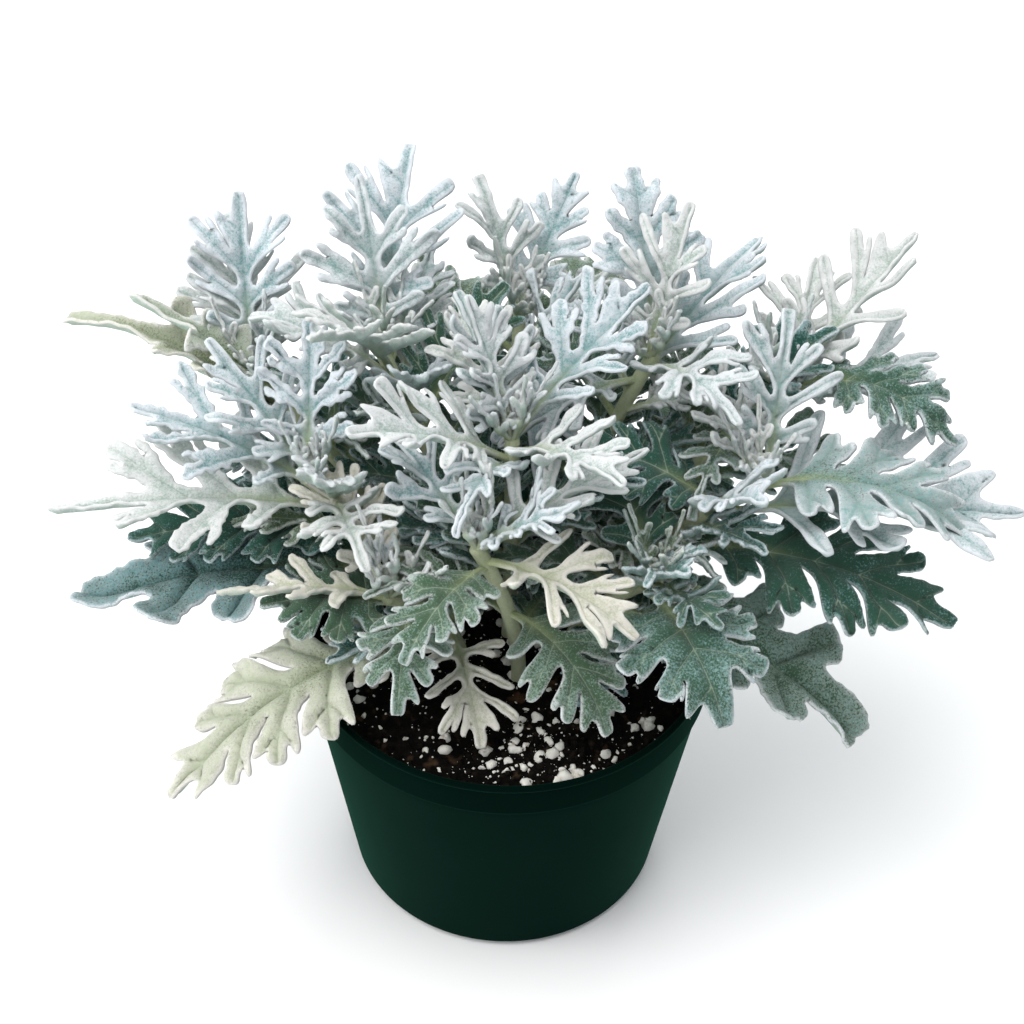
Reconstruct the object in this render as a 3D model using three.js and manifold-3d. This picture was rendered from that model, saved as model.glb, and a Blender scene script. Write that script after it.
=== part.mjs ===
// Potted dusty miller: a nursery pot, its potting mix, and eleven leafy stems of felted, deeply cut leaves.
// Millimetres, +Z up. The origin is the centre of the pot's flat base, where the pot stands.
import * as THREE from 'three';
import { mergeVertices } from 'three/addons/utils/BufferGeometryUtils.js';
import Module from 'manifold-3d';

const wasm = await Module();
wasm.setup();

// ---------------------------------------------------------------- driving dimensions

const pot = {
  height: 116,
  rimRadius: 77.5,
  baseRadius: 60,
  wall: 1.8,
  floor: 2.4,
  bandHeight: 15, // the stiffening band under the lip
  bandStep: 1.9,
  lipHeight: 2.2,
  footRound: 3,
  sides: 36,
  drainHoles: 6,
  drainRadius: 4.5,
  drainCircle: 44,
};

const soil = {
  top: 105, // level of the potting mix at the wall
  mound: 4, // how much higher it lies round the stems
  bump: 1.2,
  fit: 0.3, // gap to the pot and the stems
  rings: 4,
  sides: 24,
};

const stem = {
  radius: 2.8,
  sides: 5,
  steps: 4,
  buried: 30, // length that stands in the potting mix
  bend: 0.5, // share of the height at which a stem leans out
  upright: 0.05, // share of the free length that goes on straight from the hole in the soil
};

const blade = {
  thick: 1.0,
  petioleThick: 2.6,
  petioleHalfWidth: 1.8,
  shoulder: 8, // length over which the petiole flattens into the blade
  ribPoints: 4,
  frameSteps: 24,
  clearance: 0.9, // added to the thickness while a place is looked for
};

const degrees = Math.PI / 180;

// ---------------------------------------------------------------- leaf kinds
// pairs       lobes on each side of the rib
// petiole     share of the whole leaf's length; width: blade width as a share of blade length
// wing        half width of the blade between the lobes, as a share of the half width
// reach       how far each lobe goes out, base to tip, as shares of the half width
// first/last  direction of the first and the last lobe, in degrees from the rib
// loose/vary  how far a lobe's direction (degrees) and reach (share) may differ from these
// teeth       for each lobe, whether it has a side tooth [towards the stalk, towards the tip]
// forked      share of those teeth that have grown
// root/neck   where a lobe's stalk starts, as a share of its reach, and its half width, of the room
// spread      how far the side teeth stand out from the lobe's middle, as a share of the room
// finger      half width of a lobe's end; notch: half width at its foot (of the half width)
// near/far    how far out the two teeth stand, as shares of the lobe; dip: how deep the notches are
// tip         length of the last lobe, as a share of the blade; tipSpread: reach of its side teeth
// cup/curl    how the halves rise from the rib and turn over towards their edges, in degrees
// wave        how far the edges rise and fall along the leaf, in millimetres
const leafKinds = {
  lace: {
    pairs: 3, petiole: 0.16, width: 0.98, wing: 0.1, reach: [0.78, 1.0, 0.88], first: 66, last: 42,
    loose: 5, vary: 0.18, teeth: [[1, 1], [1, 1], [1, 1]], forked: 0.5, root: 0, neck: 0.17, spread: 0.36,
    finger: 0.084, near: 0.72, far: 0.84, notch: 0.076, dip: 0.26,
    tip: 0.36, tipSpread: 0.34, cup: 24, curl: -14, wave: 3.6,
  },
  broad: {
    pairs: 4, petiole: 0.18, width: 0.7, wing: 0.26, reach: [0.62, 0.94, 1.0, 0.8], first: 74, last: 40,
    loose: 2, vary: 0.1, teeth: [[0, 1], [1, 1], [1, 1], [1, 0]], forked: 1, root: 0, neck: 0.36, spread: 0.45,
    finger: 0.1, near: 0.82, far: 0.92, notch: 0.11, dip: 0.18,
    tip: 0.24, tipSpread: 0.36, cup: 12, curl: -34, wave: 2.2,
  },
  lobed: {
    pairs: 3, petiole: 0.16, width: 0.9, wing: 0.24, reach: [0.78, 1.0, 0.86], first: 74, last: 42,
    loose: 3, vary: 0.12, teeth: [[0, 1], [1, 1], [1, 0]], forked: 0.85, root: 0, neck: 0.34, spread: 0.44,
    finger: 0.1, near: 0.82, far: 0.92, notch: 0.11, dip: 0.2,
    tip: 0.3, tipSpread: 0.36, cup: 14, curl: -30, wave: 2.4,
  },
  fan: {
    pairs: 3, petiole: 0.3, width: 1.2, wing: 0.34, reach: [0.88, 1.0, 0.92], first: 112, last: 44,
    loose: 2, vary: 0.1, teeth: [[1, 1], [1, 1], [1, 1]], forked: 0.9, root: 0.2, neck: 0.42, spread: 0.4,
    finger: 0.12, near: 0.8, far: 0.9, notch: 0.13, dip: 0.15,
    tip: 0.42, tipSpread: 0.4, cup: 6, curl: -30, wave: 2.4,
  },
  plain: {
    pairs: 3, petiole: 0.2, width: 0.7, wing: 0.16, reach: [0.8, 1.0, 0.8], first: 62, last: 40,
    loose: 5, vary: 0.18, teeth: [[0, 0], [0, 0], [0, 0]], forked: 0, root: 0, neck: 0.3, spread: 0,
    finger: 0.1, near: 0, far: 0, notch: 0, dip: 0,
    tip: 0.34, tipSpread: 0, cup: 26, curl: -14, wave: 2.0,
  },
  scalloped: {
    pairs: 3, petiole: 0.2, width: 0.7, wing: 0.62, reach: [0.82, 1.0, 0.95], first: 74, last: 48,
    loose: 2, vary: 0.1, teeth: [[0, 0], [0, 0], [0, 0]], forked: 0, root: 0, neck: 0.4, spread: 0,
    finger: 0.28, near: 0, far: 0, notch: 0, dip: 0,
    tip: 0.22, tipSpread: 0, cup: 12, curl: -34, wave: 2.6,
  },
  strap: {
    pairs: 3, petiole: 0.16, width: 0.42, wing: 0.45, reach: [0.8, 1.0, 0.8], first: 58, last: 40,
    loose: 2, vary: 0.1, teeth: [[0, 0], [0, 0], [0, 0]], forked: 0, root: 0, neck: 0.36, spread: 0,
    finger: 0.18, near: 0, far: 0, notch: 0, dip: 0,
    tip: 0.36, tipSpread: 0, cup: 30, curl: -20, wave: 4,
  },
};

// ---------------------------------------------------------------- the plant
// Each stem stands upright in the potting mix at its foot and leans out to its tip.
// A leaf says: kind, up (share of the stem's free height), turn (compass direction, degrees from +X),
// rise (degrees above level at the root), droop (degrees lost along the leaf), length (with petiole).
const leafyStems = {
  front_left: {
    foot: [-18, -8], tip: [-44, -22, 156],
    leaves: [
      ['broad', 0.45, 208, 8, 60, 122],
      ['lace', 0.35, 284, 14, 60, 54],
      ['fan', 0.75, 190, 26, 40, 60],
      ['lobed', 0.85, 268, 22, 80, 56],
      ['plain', 0.92, 180, 14, 40, 66],
      ['lace', 1.0, 118, 36, 30, 58],
    ],
  },
  front: {
    foot: [4, -16], tip: [-12, -20, 180],
    leaves: [
      ['lobed', 0.5, 310, 20, 90, 66],
      ['lace', 0.9, 326, 20, 60, 66],
      ['lobed', 0.85, 236, 24, 75, 56],
      ['lace', 0.96, 130, 34, 20, 58],
      ['lace', 1.0, 22, 28, 20, 70],
      ['lobed', 0.8, 84, 34, 20, 56],
      ['plain', 0.6, 190, 40, 70, 56],
    ],
  },
  front_right: {
    foot: [22, -6], tip: [54, -16, 162],
    leaves: [
      ['fan', 0.9, 292, 26, 80, 74],
      ['lobed', 0.96, 112, 34, 30, 66],
      ['lobed', 0.8, 190, 30, 60, 54],
    ],
  },
  left: {
    foot: [-30, 6], tip: [-74, 12, 182],
    leaves: [
      ['scalloped', 0.4, 186, 14, 50, 122],
      ['broad', 0.6, 176, 16, 44, 96],
      ['lace', 0.82, 190, 18, 34, 108],
      ['lace', 0.9, 168, 24, 24, 80],
      ['lace', 0.96, 146, 34, 16, 66],
      ['lace', 1.0, 96, 46, 10, 62],
    ],
  },
  right: {
    foot: [31, 8], tip: [92, 14, 182],
    leaves: [
      ['scalloped', 0.25, 332, 12, 66, 112],
      ['broad', 0.6, 348, 16, 50, 116],
      ['lobed', 0.98, 340, 32, 70, 84],
      ['lace', 0.82, 352, 16, 30, 114],
      ['lobed', 0.85, 170, 30, 50, 60],
      ['lace', 1.0, 130, 40, 40, 56],
    ],
  },
  centre: {
    foot: [0, 6], tip: [0, 18, 198],
    leaves: [
      ['lace', 1.0, 42, 38, 20, 74],
      ['lace', 0.97, 100, 48, 10, 62],
      ['lace', 0.9, 184, 26, 30, 76],
      ['lace', 0.94, 338, 32, 40, 66],
      ['plain', 0.85, 240, 50, 90, 64],
    ],
  },
  back_left: {
    foot: [-16, 24], tip: [-50, 64, 200],
    leaves: [
      ['lace', 1.0, 82, 50, 14, 78],
      ['lace', 0.96, 116, 48, 20, 70],
      ['lace', 0.9, 190, 34, 40, 62],
      ['lace', 0.93, 262, 36, 50, 78],
      ['plain', 0.6, 118, 20, 50, 76],
    ],
  },
  back_right: {
    foot: [17, 25], tip: [52, 62, 202],
    leaves: [
      ['lobed', 1.0, 100, 52, 10, 70],
      ['lace', 0.96, 62, 46, 20, 64],
      ['lace', 0.92, 210, 36, 50, 62],
      ['lace', 0.88, 40, 46, 30, 84],
      ['lace', 0.96, 304, 36, 50, 64],
      ['plain', 0.6, 70, 20, 50, 76],
    ],
  },
  far_left: {
    foot: [-34, 24], tip: [-98, 62, 186],
    leaves: [
      ['strap', 0.75, 154, 30, 40, 116],
      ['strap', 0.86, 172, 30, 46, 78],
      ['lace', 0.94, 132, 42, 20, 62],
      ['lace', 0.97, 100, 46, 20, 68],
      ['lace', 1.0, 76, 50, 12, 70],
      ['plain', 0.8, 300, 40, 50, 50],
      ['lobed', 0.5, 108, 10, 60, 76],
    ],
  },
  far_right: {
    foot: [36, 27], tip: [104, 58, 190],
    leaves: [
      ['lace', 0.98, 40, 42, 24, 78],
      ['broad', 0.98, 338, 44, 100, 78],
      ['lace', 0.92, 12, 32, 26, 72],
      ['lace', 1.0, 90, 44, 20, 58],
      ['lobed', 0.55, 66, 14, 60, 84],
      ['plain', 0.85, 285, 36, 60, 58],
    ],
  },
  back: {
    foot: [0, 38], tip: [2, 104, 186],
    leaves: [
      ['lobed', 1.0, 62, 48, 14, 58],
      ['lace', 0.97, 122, 56, 20, 60],
      ['broad', 0.6, 108, 24, 56, 110],
      ['broad', 0.75, 70, 20, 56, 100],
      ['lace', 0.92, 275, 36, 40, 76],
      ['plain', 0.88, 150, 36, 40, 70],
    ],
  },
};

// Changes of direction tried in turn, in degrees, until a leaf is clear of its neighbours:
// rings of [turn, rise] that grow from none.
const bendStep = 6;
const bendRings = 8;
const bendCost = 0.06; // triangles of crossing on its own stem that are worth one square degree

// ---------------------------------------------------------------- helpers

// A repeatable number from 0 to 1 for each n.
function seeded(n) {
  const x = Math.sin(n * 127.1 + 311.7) * 43758.5453;
  return x - Math.floor(x);
}

function solidOf(geometry) {
  const bare = geometry.clone();
  bare.deleteAttribute('normal');
  bare.deleteAttribute('uv');
  const merged = mergeVertices(bare, 1e-4);
  return new wasm.Manifold(new wasm.Mesh({
    numProp: 3,
    vertProperties: merged.attributes.position.array,
    triVerts: new Uint32Array(merged.index.array),
  }));
}

function geometryOf(solid) {
  const mesh = solid.getMesh();
  const positions = new Float32Array(mesh.numVert * 3);
  for (let i = 0; i < mesh.numVert; i += 1) {
    positions.set(mesh.vertProperties.subarray(i * mesh.numProp, i * mesh.numProp + 3), i * 3);
  }
  const geometry = new THREE.BufferGeometry();
  geometry.setAttribute('position', new THREE.BufferAttribute(positions, 3));
  geometry.setIndex(new THREE.BufferAttribute(mesh.triVerts.slice(), 1));
  geometry.computeVertexNormals();
  return geometry;
}

// A body of revolution about +Z from [radius, height] pairs that run anticlockwise.
function turned(profile, sides) {
  const lathe = new THREE.LatheGeometry(profile.map(([r, z]) => new THREE.Vector2(r, z)), sides);
  return lathe.rotateX(Math.PI / 2);
}

// ---------------------------------------------------------------- pot

const bandBottom = pot.height - pot.bandHeight;
const taper = (pot.rimRadius - pot.bandStep - pot.baseRadius) / bandBottom;
const outerRadius = (z) => pot.baseRadius + taper * z;
const innerRadius = (z) => outerRadius(z) - pot.wall;
const stepRadius = outerRadius(bandBottom);

function makePot() {
  const rim = pot.rimRadius;
  const lip = pot.height - pot.lipHeight;
  const profile = [
    [0, 0],
    [pot.baseRadius - pot.footRound, 0],
    [outerRadius(pot.footRound), pot.footRound],
    [stepRadius, bandBottom],
    [stepRadius + pot.bandStep - 0.5, bandBottom + 0.6],
    [rim - 0.8, lip],
    [rim, lip + 0.5],
    [rim, pot.height - 0.6],
    [rim - 0.7, pot.height],
    [rim - 2.4, pot.height],
    [innerRadius(bandBottom) + 0.4, bandBottom],
    [innerRadius(pot.floor + 2), pot.floor + 2],
    [innerRadius(0) - 2.5, pot.floor],
    [0, pot.floor],
  ];
  let solid = solidOf(turned(profile, pot.sides));
  for (let i = 0; i < pot.drainHoles; i += 1) {
    const angle = ((i + 0.5) / pot.drainHoles) * 2 * Math.PI;
    const hole = new THREE.CylinderGeometry(pot.drainRadius, pot.drainRadius, pot.floor * 4, 10);
    hole.rotateX(Math.PI / 2);
    hole.translate(pot.drainCircle * Math.cos(angle), pot.drainCircle * Math.sin(angle), pot.floor / 2);
    solid = solid.subtract(solidOf(hole));
  }
  return solid;
}

// ---------------------------------------------------------------- stems

const soilLevel = (r) => soil.top + soil.mound * (1 - (r / pot.rimRadius) ** 2);

// The free part of a stem: straight up from its foot, then leaning out to its tip.
function stemCurve({ foot: [x, y], tip }) {
  const low = soilLevel(Math.hypot(x, y));
  return new THREE.QuadraticBezierCurve3(
    new THREE.Vector3(x, y, low),
    new THREE.Vector3(x, y, low + stem.bend * (tip[2] - low)),
    new THREE.Vector3(...tip),
  );
}

// A stem's whole line, whose first step is the straight length in its hole.
class StemPath extends THREE.Curve {
  constructor(free) {
    super();
    this.free = free;
    this.low = free.v0.clone().setZ(free.v0.z - stem.buried);
    this.ground = free.getPoint(stem.upright);
  }

  getPoint(t) {
    const s = t * stem.steps;
    if (s < 1) return this.low.clone().lerp(this.ground, s);
    return this.free.getPoint(stem.upright + ((1 - stem.upright) * (s - 1)) / (stem.steps - 1));
  }

  // even shares of t, so that a step of the tube ends on the bend
  getUtoTmapping(u) {
    return u;
  }
}

function makeStem(plan) {
  const section = new THREE.Shape();
  for (let i = 0; i < stem.sides; i += 1) {
    const angle = (i / stem.sides) * 2 * Math.PI;
    const [x, y] = [stem.radius * Math.cos(angle), stem.radius * Math.sin(angle)];
    if (i === 0) section.moveTo(x, y);
    else section.lineTo(x, y);
  }
  const path = new StemPath(stemCurve(plan));
  return solidOf(new THREE.ExtrudeGeometry(section, { steps: stem.steps, extrudePath: path }));
}

function makeSoil() {
  const floor = pot.floor + soil.fit;
  const profile = [[0, floor], [innerRadius(0) - 2.5 - soil.fit, floor]];
  profile.push([innerRadius(pot.floor + 2) - soil.fit, pot.floor + 2 + soil.fit]);
  const edge = innerRadius(soil.top) - 2 * soil.fit;
  profile.push([edge, soil.top]);
  for (let i = 1; i <= soil.rings; i += 1) {
    const r = edge * (1 - i / soil.rings);
    profile.push([r, soilLevel(r)]);
  }
  const body = turned(profile, soil.sides);
  const at = body.attributes.position;
  for (let i = 0; i < at.count; i += 1) {
    const r = Math.hypot(at.getX(i), at.getY(i));
    if (at.getZ(i) > soil.top - 1 && r < edge - 1 && r > 1) {
      const rough = seeded(Math.round(at.getX(i) * 10) + 31 * Math.round(at.getY(i) * 10));
      at.setZ(i, at.getZ(i) + soil.bump * (2 * rough - 1));
    }
  }
  let solid = solidOf(body);
  for (const plan of Object.values(leafyStems)) {
    const [x, y] = plan.foot;
    const depth = stem.buried + soil.fit;
    const level = soilLevel(Math.hypot(x, y));
    const radius = (stem.radius + soil.fit) / Math.cos(Math.PI / 8);
    const hole = new THREE.CylinderGeometry(radius, radius, depth + 20, 8);
    hole.rotateX(Math.PI / 2);
    hole.translate(x, y, level - depth + (depth + 20) / 2);
    solid = solid.subtract(solidOf(hole));
  }
  return solid;
}

// ---------------------------------------------------------------- leaves

// One side of a leaf's outline as [u, v]: u along the rib from the blade's base, v out from it.
function halfOutline(kind, length, half, seed) {
  const finger = kind.finger * half;
  const notch = kind.notch * half;
  const wing = kind.wing * half;
  const start = 0.05 * length;
  const pitch = ((1 - kind.tip) * length - start) / kind.pairs;
  const step = (kind.first - kind.last) / (kind.pairs - 1);
  const side = [];
  for (let i = 0; i < kind.pairs; i += 1) {
    const draw = (n) => 2 * seeded(seed + 10 * i + n) - 1;
    const angle = (kind.first - step * i + kind.loose * draw(1)) * degrees;
    const reach = half * kind.reach[i] * (1 + kind.vary * draw(2)) - wing;
    const from = start + pitch * (i + 0.36 + 0.03 * draw(4));
    // the room between neighbouring lobes grows outwards, as they fan out
    const room = (a) => pitch * Math.sin(Math.min(angle, Math.PI / 2)) + a * Math.sin(step * degrees);
    const spread = kind.spread * room(0.8 * reach) * (1 + 0.06 * draw(3));
    // a runs along the lobe and b across it, towards the leaf's tip
    const at = (a, b) => [
      from + a * Math.cos(angle) + b * Math.sin(angle),
      0.6 * wing + a * Math.sin(angle) - b * Math.cos(angle),
    ];
    const root = kind.root * reach;
    const [near, far] = kind.teeth[i].map((tooth, n) => tooth && seeded(seed + 10 * i + 7 + n) < kind.forked);
    side.push(at(root, -kind.neck * room(root)));
    if (near) {
      side.push(at(kind.near * reach, -spread));
      side.push(at((kind.near - kind.dip) * reach, -notch));
    }
    side.push(at(reach, -finger));
    side.push(at(reach, finger));
    if (far) {
      side.push(at((kind.far - kind.dip) * reach, notch));
      side.push(at(kind.far * reach, spread));
    }
    side.push(at(root + 0.12 * reach, kind.neck * room(root)));
  }
  const end = kind.tip * length;
  const body = length - end;
  if (kind.tipSpread > 0 && seeded(seed + 49) < kind.forked) {
    side.push([body + 0.66 * end, kind.tipSpread * half]);
    side.push([body + 0.46 * end, 1.2 * finger]);
  }
  side.push([length, finger]);
  return side;
}

// The rib's course: places and directions at even steps from the root to the tip.
function ribFrames(root, leaf) {
  const frames = [];
  const place = root.clone();
  const step = leaf.length / blade.frameSteps;
  const heading = (x) => {
    const rise = (leaf.rise - leaf.droop * x ** 1.5) * degrees;
    const turn = (leaf.turn + leaf.swing * x) * degrees;
    return [rise, turn];
  };
  for (let i = 0; i <= blade.frameSteps; i += 1) {
    const x = i / blade.frameSteps;
    const [rise, turn] = heading(x);
    const along = new THREE.Vector3(
      Math.cos(rise) * Math.cos(turn), Math.cos(rise) * Math.sin(turn), Math.sin(rise),
    );
    const across = new THREE.Vector3(-Math.sin(turn), Math.cos(turn), 0);
    across.applyAxisAngle(along, (leaf.roll + leaf.twist * x) * degrees);
    const up = new THREE.Vector3().crossVectors(along, across);
    frames.push({ place: place.clone(), along, across, up });
    const [midRise, midTurn] = heading((i + 0.5) / blade.frameSteps);
    place.x += step * Math.cos(midRise) * Math.cos(midTurn);
    place.y += step * Math.cos(midRise) * Math.sin(midTurn);
    place.z += step * Math.sin(midRise);
  }
  return frames;
}

// Where a flat leaf point [u, v] lies on the bent leaf, and which way its upper face looks there.
function bendPoint(frames, leaf, u, v) {
  const s = Math.min(Math.max((leaf.petiole + u) / leaf.length, 0), 1) * blade.frameSteps;
  const i = Math.min(Math.floor(s), blade.frameSteps - 1);
  const f = s - i;
  const mix = (name) => frames[i][name].clone().lerp(frames[i + 1][name], f);
  const [across, up] = [mix('across'), mix('up')];
  const reach = Math.abs(v);
  const side = v < 0 ? -1 : 1;
  const cup = leaf.kind.cup * degrees;
  const bend = (leaf.kind.curl * degrees) / leaf.half;
  const out = (Math.sin(cup + bend * reach) - Math.sin(cup)) / bend;
  const lift = (Math.cos(cup) - Math.cos(cup + bend * reach)) / bend;
  const phase = leaf.phase + (v < 0 ? 1.3 : 0);
  const ripple = Math.sin((4 * Math.PI * u) / leaf.bladeLength + phase);
  const wave = leaf.kind.wave * (reach / leaf.half) * ripple;
  const slope = cup + bend * reach;
  const point = mix('place').addScaledVector(across, side * out).addScaledVector(up, lift + wave);
  const face = up.multiplyScalar(Math.cos(slope)).addScaledVector(across, -side * Math.sin(slope));
  return [point, face];
}

// A leaf from its row of the table, turned and raised by one of the bends.
function leafPlan([name, up, turn, rise, droop, length], seed, [turnBy, riseBy]) {
  const kind = leafKinds[name];
  const petiole = kind.petiole * length;
  const bladeLength = length - petiole;
  return {
    kind,
    seed,
    up,
    droop,
    length,
    petiole,
    bladeLength,
    half: (bladeLength * kind.width) / 2,
    turn: turn + turnBy,
    rise: rise + riseBy,
    swing: 16 * (seeded(seed + 1) - 0.5),
    roll: 16 * (seeded(seed + 2) - 0.5),
    twist: 30 * (seeded(seed + 3) - 0.5),
    phase: 2 * Math.PI * seeded(seed + 4),
  };
}

// The leaf's flat points and the loops they make: the rib's line, shared by both halves, then each
// half's outline from the root outwards, then the tip.
function flatLeaf(leaf) {
  const rib = [[-leaf.petiole, 0]];
  for (let i = 1; i <= blade.ribPoints; i += 1) {
    rib.push([(leaf.bladeLength * i) / (blade.ribPoints + 1), 0]);
  }
  const sides = [1, -1].map((sign) => {
    const seed = leaf.seed + (sign < 0 ? 500 : 0);
    const half = [
      [-leaf.petiole, blade.petioleHalfWidth],
      [0, blade.petioleHalfWidth],
      ...halfOutline(leaf.kind, leaf.bladeLength, leaf.half, seed),
    ];
    return half.map(([u, v]) => [u, sign * v]);
  });
  const points = [...rib, ...sides[0], ...sides[1], [1.01 * leaf.bladeLength, 0]];
  const ribLoop = [...rib.keys()];
  const left = sides[0].map((_, i) => rib.length + i);
  const right = sides[1].map((_, i) => rib.length + sides[0].length + i);
  return { points, ribLoop, left, right, tip: points.length - 1 };
}

// Triangles of the flat leaf's two halves.
function flatTriangles({ points, ribLoop, left, right, tip }) {
  const faces = [];
  for (const side of [left, right]) {
    const loop = [...ribLoop, tip, ...[...side].reverse()];
    // a hair of bow keeps the rib's points out of line, so that each is used on both sides
    const flat = loop.map((n, i) => {
      const x = i / ribLoop.length;
      const bow = -0.05 * x * (1 - x) - 0.001;
      return new THREE.Vector2(points[n][0], n < ribLoop.length ? bow : Math.abs(points[n][1]));
    });
    for (const [a, b, c] of THREE.ShapeUtils.triangulateShape(flat, [])) {
      faces.push(side === left ? [loop[a], loop[b], loop[c]] : [loop[a], loop[c], loop[b]]);
    }
  }
  return faces;
}

// The closed leaf: two alike faces, a wall round the edge, and a petiole that is thicker than the blade.
function leafSolid(root, leaf, extra = 0) {
  const frames = ribFrames(root, leaf);
  const flat = flatLeaf(leaf);
  const count = flat.points.length;
  const positions = new Float32Array(count * 6);
  flat.points.forEach(([u, v], i) => {
    const [point, face] = bendPoint(frames, leaf, u, v);
    const flatness = Math.min(Math.max((u + blade.shoulder) / blade.shoulder, 0), 1);
    const thick = blade.petioleThick + (blade.thick - blade.petioleThick) * flatness + extra;
    point.clone().addScaledVector(face, thick / 2).toArray(positions, i * 3);
    point.clone().addScaledVector(face, -thick / 2).toArray(positions, (count + i) * 3);
  });
  const index = [];
  for (const [a, b, c] of flatTriangles(flat)) {
    index.push(a, b, c, count + a, count + c, count + b);
  }
  const edge = [0, ...flat.right, flat.tip, ...[...flat.left].reverse()];
  edge.forEach((a, i) => {
    const b = edge[(i + 1) % edge.length];
    index.push(b, a, count + a, b, count + a, count + b);
  });
  return new wasm.Manifold(new wasm.Mesh({
    numProp: 3,
    vertProperties: positions,
    triVerts: new Uint32Array(index),
  }));
}

// ---------------------------------------------------------------- building

function boxesMeet(a, b) {
  return a.min.every((low, i) => low < b.max[i] && b.min[i] < a.max[i]);
}

// How many triangles bound what a solid shares with others: none if it is clear of them.
function crossing(solid, others) {
  const box = solid.boundingBox();
  let triangles = 0;
  for (const other of others) {
    if (boxesMeet(box, other.boundingBox())) triangles += solid.intersect(other).numTri();
  }
  return triangles;
}

const potSolid = makePot();
const soilSolid = makeSoil();
const stemSolids = {};
const placed = {};
for (const [name, plan] of Object.entries(leafyStems)) {
  stemSolids[name] = makeStem(plan);
  placed[name] = [];
}

// Every leaf of the plant, with its stem and its own seed.
const rows = [];
Object.entries(leafyStems).forEach(([name, plan], s) => {
  plan.leaves.forEach((row, i) => rows.push({ name, row, seed: 1000 * (s + 1) + 40 * i }));
});

const bends = [[0, 0]];
for (let ring = 1; ring <= bendRings; ring += 1) {
  for (let i = 0; i < 8; i += 1) {
    const angle = (i + ring / 2) * (Math.PI / 4);
    bends.push([1.4 * bendStep * ring * Math.cos(angle), bendStep * ring * Math.sin(angle)]);
  }
}

// Each leaf takes the least bend that keeps it clear of every other stem's leaves.
for (const { name, row, seed } of rows) {
  const root = stemCurve(leafyStems[name]).getPoint(row[1]);
  const strangers = [potSolid, soilSolid];
  for (const other of Object.keys(leafyStems)) {
    if (other !== name) strangers.push(stemSolids[other], ...placed[other]);
  }
  let best = null;
  for (const bend of bends) {
    const cost = bendCost * Math.hypot(...bend) ** 2;
    if (best && best.cost < cost) break;
    const plan = leafPlan(row, seed, bend);
    const trial = leafSolid(root, plan, blade.clearance);
    if (crossing(trial, strangers) === 0) {
      const whole = cost + crossing(trial, placed[name]);
      if (!best || whole < best.cost) best = { plan, cost: whole };
    }
  }
  if (!best) throw new Error(`leaf ${row} on ${name} crosses its neighbours at every bend`);
  placed[name].push(leafSolid(root, best.plan));
}

const finishes = {
  pot: new THREE.MeshStandardMaterial({ name: 'pot', color: 0x0f3a2b, roughness: 0.45, metalness: 0 }),
  soil: new THREE.MeshStandardMaterial({ name: 'soil', color: 0x1c1714, roughness: 1, metalness: 0 }),
  leaf: new THREE.MeshStandardMaterial({ name: 'leaf', color: 0xc9d6d3, roughness: 0.9, metalness: 0 }),
};

function mesh(name, solid, finish) {
  const made = new THREE.Mesh(geometryOf(solid), finish);
  made.name = name;
  return made;
}

const dustyMiller = new THREE.Group();
dustyMiller.add(mesh('pot', potSolid, finishes.pot));
dustyMiller.add(mesh('potting_mix', soilSolid, finishes.soil));
for (const name of Object.keys(leafyStems)) {
  const whole = wasm.Manifold.union([stemSolids[name], ...placed[name]]);
  dustyMiller.add(mesh(`leafy_stem_${name}`, whole, finishes.leaf));
}

export default dustyMiller;
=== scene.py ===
# Potted dusty miller: felted, deeply cut leaves on upright stems, crumbly potting mix, dark green pot.
# Plant and pot sizes are in millimetres and become metres when their mesh is made. Node trees take metres.
import itertools
import math
import time

import bmesh
import bpy
import numpy as np
from mathutils import Matrix, Vector, kdtree, noise
from mathutils.geometry import delaunay_2d_cdt


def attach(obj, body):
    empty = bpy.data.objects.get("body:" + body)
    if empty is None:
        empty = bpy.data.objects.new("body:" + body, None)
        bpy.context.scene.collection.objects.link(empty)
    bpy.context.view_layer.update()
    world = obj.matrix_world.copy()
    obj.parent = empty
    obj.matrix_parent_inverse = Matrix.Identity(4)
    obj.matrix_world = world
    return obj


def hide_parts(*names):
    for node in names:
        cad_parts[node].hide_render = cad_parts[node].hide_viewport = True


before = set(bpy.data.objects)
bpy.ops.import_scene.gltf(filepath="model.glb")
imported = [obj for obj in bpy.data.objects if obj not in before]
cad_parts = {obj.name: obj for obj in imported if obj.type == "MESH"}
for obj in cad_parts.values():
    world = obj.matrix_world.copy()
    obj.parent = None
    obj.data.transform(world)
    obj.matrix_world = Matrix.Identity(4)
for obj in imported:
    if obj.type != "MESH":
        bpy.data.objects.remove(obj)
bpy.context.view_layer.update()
started = time.time()
mm = 0.001
degree = math.pi / 180


def report(stage):
    print(f"{time.time() - started:5.1f} s  {stage}")


# camera and light

cameraPlan = {
    "lens": 87.9,  # on a 36 mm sensor
    "target": (0.0004, 0.0, 0.1786),
    "distance": 0.9005,
    "elevation": 44.0,
    "roll": 1.2,
}
lightPlan = {
    "sky": (0.94, 0.97, 1.0),
    "skyStrength": 0.73,
    # name: place, what it looks at, size, watts, colour
    "key": ((-0.5, -0.25, 1.7), (0, 0, 0.18), 1.6, 29.0, (1.0, 0.99, 0.97)),
    "fill": ((-1.5, -0.35, 0.4), (0, 0, 0.08), 0.8, 11.0, (0.97, 0.98, 1.0)),
    "rim": ((0.3, 1.2, 1.3), (0, 0, 0.2), 0.8, 9.0, (1.0, 1.0, 1.0)),
}


def addObject(name, data):
    made = bpy.data.objects.new(name, data)
    bpy.context.scene.collection.objects.link(made)
    return made


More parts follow.
